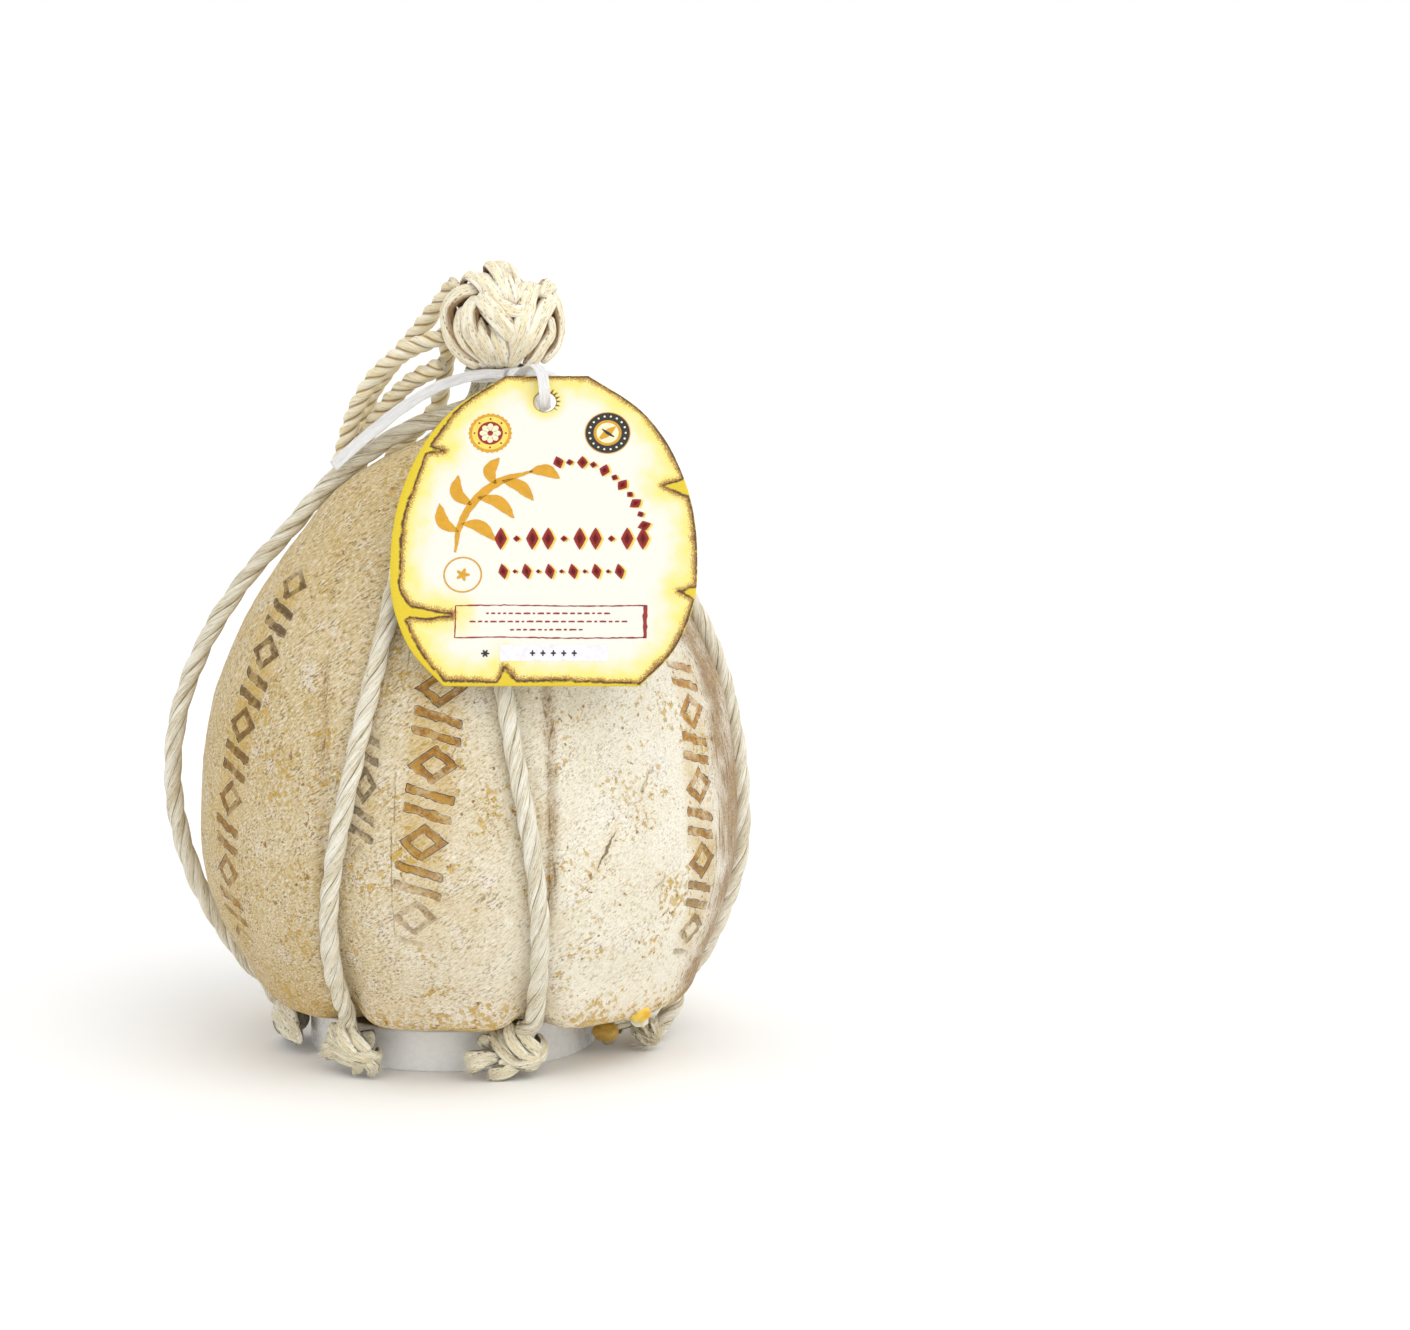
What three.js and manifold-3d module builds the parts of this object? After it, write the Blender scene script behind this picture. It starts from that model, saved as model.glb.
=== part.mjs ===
// Whole provolone cheese in its twisted-rope hanging harness, with base ring, label card and string.
// Millimetres, +Z up, front towards -Y, +X to the right of someone facing the front.
// The origin is on the floor, under the middle of the object.
import * as THREE from "three";
import Module from "manifold-3d";

const wasm = await Module();
wasm.setup();

// ---------------------------------------------------------------- driving dimensions
const CHEESE_X = 3.3;              // the cheese's upright axis
const RING_X = -2.9;               // the ring's upright axis: the cheese stands a little to its right
const ROPE_R = 3.1;                // rope radius
const GAP = 0.45;                  // clear space between touching pieces
const SEAT = 0.8;                  // clear space between a rope and the groove that it lies in
// the cheese's outline from its underside to its tip, at even steps of the surface parameter s
const OUTLINE_R = [
  0, 18, 35, 48, 57, 65.5, 69.5, 75, 83, 88, 88.7, 86.8, 82.9, 74.8, 64.1, 54, 42, 22.5, 0];
const OUTLINE_Z = [
  12.8, 13, 14.2, 14.7, 15.9, 18, 22, 31, 45, 62, 81, 100, 120, 140, 158, 172, 186, 198, 206.5];
const GROOVE_W = 7;                // half width of the groove that each rope presses
const GROOVE_MID = 1.9;            // its depth round the middle
const GROOVE_LOW = 5;              // what is added to it near the ring
const BULGE = 4.5;                 // the sagging right lobe's extra reach near the floor
const RING = { outer: 47.5, inner: 44.9, height: 13.7, chamfer: 0.7, sides: 36 };
const FOOT = { azimuth: 36, width: 4.6, depth: 3, height: 1.5 };
const NECK = { x: 14.5, radius: 6.75, low: 214, high: 224.9 };  // where the six ropes are gathered
const KNOT = { at: [16, 0, 242.5], core: [15, 13, 14.5] };      // the big knot above it
const RIBBON = { across: 1.75, thick: 1.05, sides: 6 };         // half sizes of the flat white string
// The card leans back on the front rope: bottom edge's height and reach, slope, size, and its hole.
const CARD = {
  x: 31.3, low: 131.6, back: -88.9, lean: 0.555, thick: 1.2, length: 104.5, hole: [-0.5, 95.5, 3.5] };
const CARD_HALF_WIDTHS = [30, 39.5, 44.6, 47.1, 47.5, 47, 45.2, 41.8, 36.6, 28, 13];

// ---------------------------------------------------------------- small mathematics
const rad = (degrees) => degrees * Math.PI / 180;
const lerp = (a, b, t) => a + (b - a) * t;
const smooth = (a, b, v) => THREE.MathUtils.smoothstep(v, a, b);

/** Smooth curve through evenly spaced values, t from 0 to 1. */
function along(values, t) {
  const last = values.length - 1;
  const u = Math.min(Math.max(t, 0), 1) * last;
  const i = Math.min(Math.floor(u), last - 1);
  const f = u - i;
  const at = (k) => {
    if (k < 0) return 2 * values[0] - values[1];
    if (k > last) return 2 * values[last] - values[last - 1];
    return values[k];
  };
  const [a, b, c, d] = [at(i - 1), at(i), at(i + 1), at(i + 2)];
  return 0.5 * (2 * b + (c - a) * f + (2 * a - 5 * b + 4 * c - d) * f * f + (3 * b - a - 3 * c + d) * f ** 3);
}

// ---------------------------------------------------------------- the rope routes
// Each harness rope runs down the cheese from s = ROUTE_TOP to s = ROUTE_LOW. "azimuths" are its
// bearings on the way, 0 at the front and growing to the right. "slack" is how far it stands off.
// "neck" is its bearing round the neck and "foot" its last points, down to its knot at the ring.
const ROUTE_TOP = 0.95;
const ROUTE_LOW = 0.30;
const TIGHT = [0.5, 0, 0, 0, 0.7];
const ROPES = [
  { azimuths: [-92, -92, -92, -91], neck: -90, slack: [1.2, 0, 1, 4, 6.8, 9.3, 8.3, 4.6, 2.8, 3.2, 3.4],
    foot: [[-60.5, -3.5, 11.5]] },
  { azimuths: [-17, -17, -25, -33.5], neck: -30, slack: TIGHT, foot: [[-33, -54, 14.4]] },
  { azimuths: [13, 10.5, 16.8, 20.5], neck: 30, slack: TIGHT, foot: [[20.4, -57.5, 14.8]] },
  { azimuths: [82, 98, 98, 95], neck: 90, slack: [1.5, 0, 0, 0.3, 1, 1.2],
    foot: [[71.2, 3, 11.4], [67, -5, 6.4], [63.8, -11.5, 4], [60.2, -14, 5.2], [56.6, -16, 8.2]] },
  { azimuths: [149, 150, 146, 142], neck: 150, slack: TIGHT, foot: [[35.5, 48.5, 14.2]] },
  { azimuths: [206, 205, 208, 212], neck: 210, slack: TIGHT, foot: [[-36.5, 49, 14.2]] },
];

/** Bearing of a rope, in radians, where it passes surface parameter s. */
const ropeAzimuth = (rope, s) => rad(along(rope.azimuths, (ROUTE_TOP - s) / (ROUTE_TOP - ROUTE_LOW)));

/** Depth of the grooves at surface parameter s. */
function grooveDepth(s) {
  const low = GROOVE_LOW * Math.exp(-(((s - 0.27) / 0.12) ** 2));
  return (GROOVE_MID + low) * smooth(0.1, 0.2, s) * (1 - smooth(0.93, 0.99, s));
}

/** Point of the cheese's skin, moved out by "off". */
function cheesePoint(s, azimuth, off = 0) {
  const h = 0.002;
  const r = along(OUTLINE_R, s);
  const z = along(OUTLINE_Z, s);
  const dr = along(OUTLINE_R, Math.min(s + h, 1)) - along(OUTLINE_R, Math.max(s - h, 0));
  const dz = along(OUTLINE_Z, Math.min(s + h, 1)) - along(OUTLINE_Z, Math.max(s - h, 0));
  const size = Math.hypot(dr, dz);
  let out = off;
  for (const rope of ROPES) {
    const turn = azimuth - ropeAzimuth(rope, s);
    const wrapped = Math.atan2(Math.sin(turn), Math.cos(turn));
    out -= grooveDepth(s) * Math.exp(-((wrapped * Math.max(r, 12) / GROOVE_W) ** 2));
  }
  out += BULGE * Math.exp(-(((s - 0.33) / 0.08) ** 2)) * Math.max(0, Math.cos(azimuth - rad(78))) ** 2;
  const reach = r + out * dz / size;
  const lift = -out * dr / size;
  return new THREE.Vector3(CHEESE_X + reach * Math.sin(azimuth), -reach * Math.cos(azimuth), z + lift);
}

/** Centre line of a harness rope, from the neck to its knot at the ring, or a little beyond. */
function ropeLine(rope, beyond = 0) {
  const turn = rad(rope.neck);
  const stem = (z, radius) => [NECK.x + radius * Math.sin(turn), -radius * Math.cos(turn), z];
  const points = [
    stem(NECK.high, NECK.radius), stem(lerp(NECK.low, NECK.high, 0.5), NECK.radius),
    stem(NECK.low - 1.5, NECK.radius + 2.5)];
  const stops = 11;
  for (let i = 0; i < stops; i += 1) {
    const t = i / (stops - 1);
    const s = lerp(ROUTE_TOP, ROUTE_LOW, t);
    points.push(cheesePoint(s, ropeAzimuth(rope, s), ROPE_R + SEAT + along(rope.slack, t)));
  }
  const line = [...points, ...rope.foot].map((p) => (p.isVector3 ? p : new THREE.Vector3(...p)));
  if (beyond) line.push(line.at(-1).clone().sub(line.at(-2)).setLength(beyond).add(line.at(-1)));
  return line;
}

// The two loops that the cheese is hung up by. They hang down behind its left shoulder.
const HANGING_LOOPS = [
  [
    [-3.6, -1, 234.4], [-16.7, 4.1, 229], [-27.1, 11.1, 220.7], [-34.5, 17.8, 209.3], [-39.2, 23.5, 196.2],
    [-43.1, 27.4, 182.1], [-49.5, 30.4, 168.8], [-58.7, 31.4, 156.9], [-66.6, 32.8, 144.2],
    [-70.1, 36.2, 134.8], [-71, 39.5, 129.2], [-70.8, 43.6, 124.1], [-69.1, 48.5, 120],
    [-66.3, 53.8, 117.5], [-62.2, 58.9, 116.8], [-57.5, 63.2, 118.1], [-52.7, 66.4, 121.2],
    [-48.2, 68.1, 125.7], [-44.4, 68.3, 131], [-41.3, 67.3, 137], [-37.5, 62.3, 148.8],
    [-34.9, 54.1, 161.3], [-31.7, 46.1, 173.6], [-27.2, 41.5, 187.3], [-18.4, 37.9, 198.9],
    [-9.1, 30.8, 208.2], [-5.8, 21, 219.1], [-3.2, 12.8, 231.5],
  ],
  [
    [-0.9, 9.5, 250.6], [-8.8, 17.3, 241], [-16.9, 24.6, 231.2], [-25.4, 31, 221.1], [-32.6, 37.6, 210.1],
    [-36.7, 41.9, 196.9], [-36.9, 41.6, 182.2], [-38.8, 45.1, 168.4], [-41.5, 53.4, 156.6],
    [-43, 58.2, 149.5], [-44.6, 60.4, 144.9], [-47.3, 61.3, 140.2], [-50.7, 60.9, 136.1],
    [-54.7, 59, 132.9], [-58.8, 55.7, 131.5], [-62, 51.5, 132], [-64, 47, 134.4], [-64.6, 43.2, 138.1],
    [-64, 40.2, 142.6], [-62, 38.4, 147.3], [-58.8, 37.7, 152.3], [-50.7, 37.4, 162.6],
    [-42.2, 35.4, 174.3], [-36.3, 31.4, 187.1], [-32, 24.7, 199.4], [-24.9, 16.9, 209.6],
    [-15.9, 9.5, 218.4], [-4.6, 2.4, 224.6],
  ],
];

// ---------------------------------------------------------------- solids
const PALETTE = {
  rind: ["#dccdab", 0.85], rope: ["#d8c8a4", 0.9], ring: ["#d6d2c8", 0.45], card: ["#f3e9c0", 0.55],
  string: ["#f1eee8", 0.4],
};

/** Named mesh with a material of its own. */
function mesh(name, geometry, finish) {
  const [color, roughness] = PALETTE[finish];
  const material = new THREE.MeshStandardMaterial({ color, roughness, metalness: 0 });
  const piece = new THREE.Mesh(geometry, material);
  piece.name = name;
  return piece;
}

/** Manifold solid of a closed geometry: equal corners are joined first. */
function solid(geometry) {
  const spots = geometry.attributes.position;
  const order = geometry.index ? geometry.index.array : [...Array(spots.count).keys()];
  const keys = new Map();
  const corners = [];
  const number = (i) => {
    const xyz = [spots.getX(i), spots.getY(i), spots.getZ(i)];
    const key = xyz.map((v) => Math.round(v * 1e4)).join();
    if (!keys.has(key)) {
      keys.set(key, corners.length / 3);
      corners.push(...xyz);
    }
    return keys.get(key);
  };
  const faces = [];
  for (let i = 0; i < order.length; i += 3) {
    const [a, b, c] = [number(order[i]), number(order[i + 1]), number(order[i + 2])];
    if (a !== b && b !== c && a !== c) faces.push(a, b, c);
  }
  return new wasm.Manifold(new wasm.Mesh({
    numProp: 3, vertProperties: Float32Array.from(corners), triVerts: Uint32Array.from(faces) }));
}

/** Geometry of a manifold solid. */
function geometryOf(body) {
  const data = body.getMesh();
  const geometry = new THREE.BufferGeometry();
  geometry.setAttribute("position", new THREE.BufferAttribute(Float32Array.from(data.vertProperties), 3));
  geometry.setIndex([...data.triVerts]);
  geometry.computeVertexNormals();
  return geometry;
}

/** Solid made of several closed geometries joined into one lump. */
const joined = (pieces) => pieces.map(solid).reduce((sum, next) => sum.add(next));

/** Block that takes away everything lower than z. */
function blockBelow(z) {
  const block = new THREE.BoxGeometry(400, 400, 100);
  block.translate(0, 0, z - 50);
  return solid(block);
}

/** Bar through the given points: "across" and "thick" are its half sizes. */
function bar(points, { across = ROPE_R, thick = across, sides = 8, steps = 30 } = {}) {
  const path = new THREE.CatmullRomCurve3(points.map((p) => (p.isVector3 ? p : new THREE.Vector3(...p))));
  const corners = Array.from({ length: sides }, (_, i) => {
    const turn = rad(360 * (i + 0.5) / sides);
    return new THREE.Vector2(across * Math.cos(turn), thick * Math.sin(turn));
  });
  const section = new THREE.Shape(corners);
  return new THREE.ExtrudeGeometry(section, { steps, bevelEnabled: false, extrudePath: path });
}

/** Ball stretched to the given half sizes. */
function ball([x, y, z], [a, b, c], across = 10, high = 7) {
  const geometry = new THREE.SphereGeometry(1, across, high);
  geometry.scale(a, b, c);
  geometry.translate(x, y, z);
  return geometry;
}

// ---------------------------------------------------------------- the cheese
/** The food itself: one body, with a column of faces along each rope's groove. */
function cheese() {
  const split = [0, 0.07, 0.15, 0.25, 0.37, 0.5, 0.63, 0.75, 0.85, 0.93];
  const rows = 30;
  const columns = ROPES.length * split.length;
  const points = [];
  for (let row = 0; row < rows; row += 1) {
    const s = lerp(0.02, 0.985, row / (rows - 1));
    ROPES.forEach((rope, k) => {
      const here = ropeAzimuth(rope, s);
      const next = ropeAzimuth(ROPES[(k + 1) % ROPES.length], s) + (k === ROPES.length - 1 ? 2 * Math.PI : 0);
      for (const part of split) points.push(cheesePoint(s, lerp(here, next, part)));
    });
  }
  const low = points.push(cheesePoint(0, 0)) - 1;
  const tip = points.push(cheesePoint(1, 0)) - 1;
  const faces = [];
  for (let j = 0; j < columns; j += 1) {
    const n = (j + 1) % columns;
    faces.push(low, n, j);
    faces.push(tip, (rows - 1) * columns + j, (rows - 1) * columns + n);
    for (let row = 0; row < rows - 1; row += 1) {
      const [a, b] = [row * columns + j, row * columns + n];
      faces.push(a, b, b + columns, a, b + columns, a + columns);
    }
  }
  const geometry = new THREE.BufferGeometry().setFromPoints(points);
  geometry.setIndex(faces);
  geometry.computeVertexNormals();
  return mesh("cheese", geometry, "rind");
}

// ---------------------------------------------------------------- the base ring
/** Moulded ring that the harness is tied to, with one small moulding tab at its foot. */
function ring() {
  const { outer, inner, height, chamfer: c, sides } = RING;
  const profile = [
    [inner, 0], [outer - c, 0], [outer, c], [outer, height - c], [outer - c, height],
    [inner + c / 2, height], [inner, height - c], [inner, 0],
  ].map(([x, y]) => new THREE.Vector2(x, y));
  const hoop = new THREE.LatheGeometry(profile, sides);
  hoop.rotateX(Math.PI / 2);
  hoop.translate(RING_X, 0, 0);
  const turn = rad(FOOT.azimuth);
  const tab = new THREE.BoxGeometry(FOOT.width, FOOT.depth, FOOT.height);
  tab.rotateZ(turn);
  const seat = outer - 0.4;
  tab.translate(RING_X + seat * Math.sin(turn), -seat * Math.cos(turn), FOOT.height / 2);
  return mesh("ring", geometryOf(joined([hoop, tab])), "ring");
}

// ---------------------------------------------------------------- ropes
const harnessRope = (rope, k) => mesh(`harness_rope_${k + 1}`, bar(ropeLine(rope)), "rope");
const hangingLoop = (points, k) => mesh(`hanging_loop_${k + 1}`, bar(points, { steps: 38 }), "rope");

// ---------------------------------------------------------------- knots
// Strands of a ring knot in its own directions: along the ring, away from it, and up.
const KNOT_STRANDS = [
  [[-7, -1, 2.5], [-3, 3, 3.8], [3, 3.6, 1.5], [7, 0.5, -2.5]],
  [[7, -0.5, 2.6], [3, 3.2, 2.2], [-3, 3.4, -2], [-6.5, 0.5, -3.6]],
  [[-5, -2, -3], [0, 1.8, -4.2], [5, 0, -3.4]],
];
// Middle of each ring knot, and its cut ends in the knot's own directions.
const RING_KNOTS = [
  { middle: [-56.6, -4, 7.8], ends: [[[0, 1, 0], [6, 2, -2], [12, 2.4, -3]]] },
  { middle: [-31.8, -49, 7.6], ends: [[[-3, 2, -1], [-8, 2.5, -0.5]], [[2, 1, -1], [5.5, 2, -6]]] },
  { middle: [20.6, -52.6, 7.8],
    ends: [[[-4, 1, -1], [-9, 2, -2], [-14, 2.5, -2]], [[0, 1, -2], [2, 2, -5.5]]] },
  { middle: [48.5, -21, 6.6], ends: [[[0, 1, 0], [-3, 3, 2.5]]], size: 0.8 },
  { middle: [32, 42.5, 7.6], ends: [[[2, 1, 0], [7, 2, -2]]] },
  { middle: [-34.5, 43, 7.6], ends: [[[-3, 1, 0], [-8, 2, -2]]] },
];

/** The knot that ties a harness rope to the ring, with its short cut ends. */
function ringKnot({ middle, ends, size = 1 }, k) {
  const bearing = Math.atan2(middle[0] - RING_X, -middle[1]);
  const place = ([a, out, up]) => [
    middle[0] + size * (a * Math.cos(bearing) + out * Math.sin(bearing)),
    middle[1] + size * (a * Math.sin(bearing) - out * Math.cos(bearing)),
    middle[2] + size * up,
  ];
  const strands = [...KNOT_STRANDS, ...ends].map(
    (strand) => bar(strand.map(place), { across: 2.9 * size, sides: 6, steps: 3 }));
  const rope = solid(bar(ropeLine(ROPES[k], GAP), { across: ROPE_R + GAP }));
  const body = joined(strands).subtract(rope).subtract(blockBelow(0.3));
  return mesh(`ring_knot_${k + 1}`, geometryOf(body), "rope");
}

// Turns of rope that show on the big knot's outside, front first.
const TOP_STRANDS = [
  [[21, -11, 224], [24.4, -14, 232], [24.6, -15, 241.6], [26, -12, 250], [30.5, -5, 251], [31, 4, 246]],
  [[3, -8, 250], [9.7, -12.5, 247.5], [15.3, -15, 242.5], [20.1, -14.5, 236.4], [21, -12, 230]],
  [[12, -5, 251], [3.8, -9.5, 249], [0, -9, 241.3], [0.8, -8, 233.2], [6, -7, 226.5]],
  [[9, -9, 225.5], [5.5, -12.5, 233], [6.2, -12.8, 240], [9, -10.5, 244.6]],
  [[9.9, -11, 238.2], [12.5, -13.6, 234.2], [14.5, -12.5, 229], [15.5, -10, 224.5]],
  [[9.5, 3, 251], [11.5, 0.5, 256.4], [15.5, -3, 254.5], [16.5, -8, 248], [15.5, -10, 243]],
  [[15, 6, 250], [17, 2.5, 256], [20.6, -2, 254], [20.6, -7.5, 247], [20, -9, 240]],
  [[27, -3, 250], [31.5, -4.5, 244.5], [32.6, -4, 236.2], [30, -4.5, 229.5], [25, -5, 225]],
  [[31, 2, 246], [29, 9, 240], [22, 13, 236], [12, 13.5, 238], [3, 9.5, 244], [1, 2, 247]],
  [[26, 9, 249], [19, 13, 244], [10, 12, 233], [5, 8, 227]],
  [[22, 9, 226], [27, 8.5, 232], [24, 11, 242], [16, 9, 251]],
];

/** The big knot over the neck: six ropes and both hanging loops tied together. */
function topKnot() {
  const strands = TOP_STRANDS.map((strand) => bar(strand, { across: 3, sides: 6, steps: 4 }));
  const body = joined([ball(KNOT.at, KNOT.core), ...strands]).subtract(blockBelow(NECK.high + GAP));
  return mesh("top_knot", geometryOf(body), "rope");
}

// ---------------------------------------------------------------- the card and its string
/** Egg-shaped card with a flat foot and one hole, leaning back on the ropes. */
function card() {
  const count = 24;
  const edge = (side, i) => new THREE.Vector2(
    side * along(CARD_HALF_WIDTHS, i / count), CARD.length * i / count);
  const right = Array.from({ length: count + 1 }, (_, i) => edge(1, i));
  const left = Array.from({ length: count + 1 }, (_, i) => edge(-1, count - i));
  const shape = new THREE.Shape([...right, ...left]);
  const hole = new THREE.Path();
  hole.absarc(...CARD.hole, 0, 2 * Math.PI, true);
  shape.holes.push(hole);
  const sheet = { depth: CARD.thick, bevelEnabled: false, curveSegments: 9 };
  const geometry = new THREE.ExtrudeGeometry(shape, sheet);
  const piece = mesh("tag", geometry, "card");
  piece.rotation.x = Math.PI / 2 - Math.atan(CARD.lean);
  piece.position.set(CARD.x, CARD.back, CARD.low);
  return piece;
}

const BEAD = { at: [20.2, -12.9, 221.7], size: [3.2, 3.2, 3.2] };
const COLLAR = { inner: 10.9, outer: 12.1, low: 219.6, high: 224.4 };
// The string's way from its bead, over the card's top edge, through the hole and back behind it.
const STRING_LOOP = [
  [21.5, -15.5, 222.5], [24.5, -25, 225], [28, -37, 226.2], [30, -42.8, 223.8], [30.8, -45.2, 219],
  [30.8, -43.2, 215], [30.6, -38.5, 212.8], [29.5, -31, 215], [26.5, -22, 219], [23, -15, 221.2],
];
const STRING_STUB = [[22, -15, 221.8], [28, -17.5, 222.3], [33, -18.6, 221], [37, -19.4, 217.5]];
const STRING_TAIL = [
  [16.4, -14.4, 222.4], [11.7, -13.2, 222.6], [7.3, -11.4, 222.1], [2.9, -9.8, 221], [-1.5, -8.4, 219.6],
  [-5.8, -7.3, 217.8], [-10.1, -6.6, 215.6], [-14.1, -6.1, 213.1], [-18.1, -5.6, 210.4],
  [-21.9, -5.1, 207.5], [-25.7, -4.7, 204.5], [-29.4, -4.3, 201.5], [-33.1, -4, 198.4],
  [-36.7, -3.9, 195.2], [-40.3, -4, 192],
];

/** The string where it is tied: round the neck, and through the card's hole. */
function tagString() {
  const { inner, outer, low, high } = COLLAR;
  const band = [[inner, low], [outer, low], [outer, high], [inner, high], [inner, low]];
  const collar = new THREE.LatheGeometry(band.map(([x, y]) => new THREE.Vector2(x, y)), 16);
  collar.rotateX(Math.PI / 2);
  collar.translate(NECK.x, 0, 0);
  const loop = bar(STRING_LOOP, { ...RIBBON, steps: 15 });
  const stub = bar(STRING_STUB, { ...RIBBON, steps: 4 });
  const bead = ball(BEAD.at, BEAD.size, 8, 5);
  return mesh("tag_string", geometryOf(joined([collar, bead, loop, stub])), "string");
}

/** The string's long loose end, which lies over the left shoulder. */
const stringTail = () => mesh("string_tail", bar(STRING_TAIL, { ...RIBBON, steps: 12 }), "string");

// ---------------------------------------------------------------- the whole object
const object = new THREE.Group();
object.name = "provolone";
object.add(
  cheese(), ring(), ...ROPES.map(harnessRope), ...RING_KNOTS.map(ringKnot), topKnot(),
  ...HANGING_LOOPS.map(hangingLoop), card(), tagString(), stringTail());
export default object;
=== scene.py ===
"""Looks of a whole provolone cheese in its twisted-rope hanging harness.

All sizes and places are in millimetres, in the CAD frame, and become metres where a mesh is made.
"""

import logging
import math
from dataclasses import dataclass, field
from enum import Enum
from typing import Callable, Sequence, Union

import bpy
import numpy as np
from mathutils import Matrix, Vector
from mathutils.geometry import delaunay_2d_cdt


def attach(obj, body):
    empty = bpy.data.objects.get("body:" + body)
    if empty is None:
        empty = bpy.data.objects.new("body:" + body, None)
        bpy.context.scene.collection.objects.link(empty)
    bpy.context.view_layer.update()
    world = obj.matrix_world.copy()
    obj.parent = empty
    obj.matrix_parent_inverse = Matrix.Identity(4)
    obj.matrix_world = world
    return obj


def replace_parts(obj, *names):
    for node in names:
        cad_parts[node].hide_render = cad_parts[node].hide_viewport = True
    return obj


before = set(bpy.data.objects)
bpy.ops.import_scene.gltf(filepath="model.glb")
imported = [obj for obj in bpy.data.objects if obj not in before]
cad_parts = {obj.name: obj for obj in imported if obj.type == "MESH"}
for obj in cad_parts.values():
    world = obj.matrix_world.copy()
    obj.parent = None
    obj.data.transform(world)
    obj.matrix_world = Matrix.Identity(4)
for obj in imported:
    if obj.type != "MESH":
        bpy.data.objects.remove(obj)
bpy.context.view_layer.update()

log = logging.getLogger("provolone")
Array = np.ndarray
Point = Sequence[float]
Colour = tuple[int, int, int]
MM = 0.001
FULL = 2 * math.pi
FRONT = (0, -1, 0)
BODY = "root"


class Slot(Enum):
    """Names of material slots; piece() takes one but does not use it."""

    RIND = "rind"
    ROPE = "rope"
    RING = "ring"
    CARD = "card"
    STRING = "string"


# ---------------------------------------------------------------- the CAD model's sizes
CHEESE_X = 3.3
RING_X = -2.9
ROPE_R = 3.1
SEAT = 0.8
# Each groove's half width and its depth, which grows round one height; then the bulge on the right
# side: its height, its bearing in degrees, and its place and reach along the outline.
GROOVE_W, GROOVE_MID, GROOVE_LOW, GROOVE_LOW_AT, GROOVE_LOW_REACH = 7.0, 1.9, 5.0, 0.27, 0.12
BULGE, BULGE_BEARING, BULGE_AT, BULGE_REACH = 4.5, 78, 0.33, 0.08
OUTLINE_R = (
    0, 18, 35, 48, 57, 65.5, 69.5, 75, 83, 88, 88.7, 86.8, 82.9, 74.8, 64.1, 54, 42, 22.5, 0)
OUTLINE_Z = (
    12.8, 13, 14.2, 14.7, 15.9, 18, 22, 31, 45, 62, 81, 100, 120, 140, 158, 172, 186, 198, 206.5)
ROUTE_TOP, ROUTE_LOW = 0.95, 0.30
TIGHT = (0.5, 0, 0, 0, 0.7)
NECK_X, NECK_R, NECK_LOW, NECK_HIGH = 14.5, 6.75, 214.0, 224.9


@dataclass(frozen=True)
class Route:
    """A harness rope's way: bearings on the cheese, bearing at the neck, stand-off, last points."""

    azimuths: tuple[float, ...]
    neck: float
    slack: tuple[float, ...]
    foot: tuple[Point, ...]


ROUTES = (
    Route((-92, -92, -92, -91), -90, (1.2, 0, 1, 4, 6.8, 9.3, 8.3, 4.6, 2.8, 3.2, 3.4),
          ((-60.5, -3.5, 11.5),)),
    Route((-17, -17, -25, -33.5), -30, TIGHT, ((-33, -54, 14.4),)),
    Route((13, 10.5, 16.8, 20.5), 30, TIGHT, ((20.4, -57.5, 14.8),)),
    Route((82, 98, 98, 95), 90, (1.5, 0, 0, 0.3, 1, 1.2),
          ((71.2, 3, 11.4), (67, -5, 6.4), (63.8, -11.5, 4), (60.2, -14, 5.2), (56.6, -16, 8.2))),
    Route((149, 150, 146, 142), 150, TIGHT, ((35.5, 48.5, 14.2),)),
    Route((206, 205, 208, 212), 210, TIGHT, ((-36.5, 49, 14.2),)),
)
# Routes of the two hanging loops and of the string's loose end, the same as in the CAD source. The
# loops' points were computed by a relaxation script; the tail's were resampled from a shorter list.
HANGING_LOOPS = (
    ((-3.6, -1, 234.4), (-16.7, 4.1, 229), (-27.1, 11.1, 220.7), (-34.5, 17.8, 209.3),
     (-39.2, 23.5, 196.2), (-43.1, 27.4, 182.1), (-49.5, 30.4, 168.8), (-58.7, 31.4, 156.9),
     (-66.6, 32.8, 144.2), (-70.1, 36.2, 134.8), (-71, 39.5, 129.2), (-70.8, 43.6, 124.1),
     (-69.1, 48.5, 120), (-66.3, 53.8, 117.5), (-62.2, 58.9, 116.8), (-57.5, 63.2, 118.1),
     (-52.7, 66.4, 121.2), (-48.2, 68.1, 125.7), (-44.4, 68.3, 131), (-41.3, 67.3, 137),
     (-37.5, 62.3, 148.8), (-34.9, 54.1, 161.3), (-31.7, 46.1, 173.6), (-27.2, 41.5, 187.3),
     (-18.4, 37.9, 198.9), (-9.1, 30.8, 208.2), (-5.8, 21, 219.1), (-3.2, 12.8, 231.5)),
    ((-0.9, 9.5, 250.6), (-8.8, 17.3, 241), (-16.9, 24.6, 231.2), (-25.4, 31, 221.1),
     (-32.6, 37.6, 210.1), (-36.7, 41.9, 196.9), (-36.9, 41.6, 182.2), (-38.8, 45.1, 168.4),
     (-41.5, 53.4, 156.6), (-43, 58.2, 149.5), (-44.6, 60.4, 144.9), (-47.3, 61.3, 140.2),
     (-50.7, 60.9, 136.1), (-54.7, 59, 132.9), (-58.8, 55.7, 131.5), (-62, 51.5, 132),
     (-64, 47, 134.4), (-64.6, 43.2, 138.1), (-64, 40.2, 142.6), (-62, 38.4, 147.3),
     (-58.8, 37.7, 152.3), (-50.7, 37.4, 162.6), (-42.2, 35.4, 174.3), (-36.3, 31.4, 187.1),
     (-32, 24.7, 199.4), (-24.9, 16.9, 209.6), (-15.9, 9.5, 218.4), (-4.6, 2.4, 224.6)),
)
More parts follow.
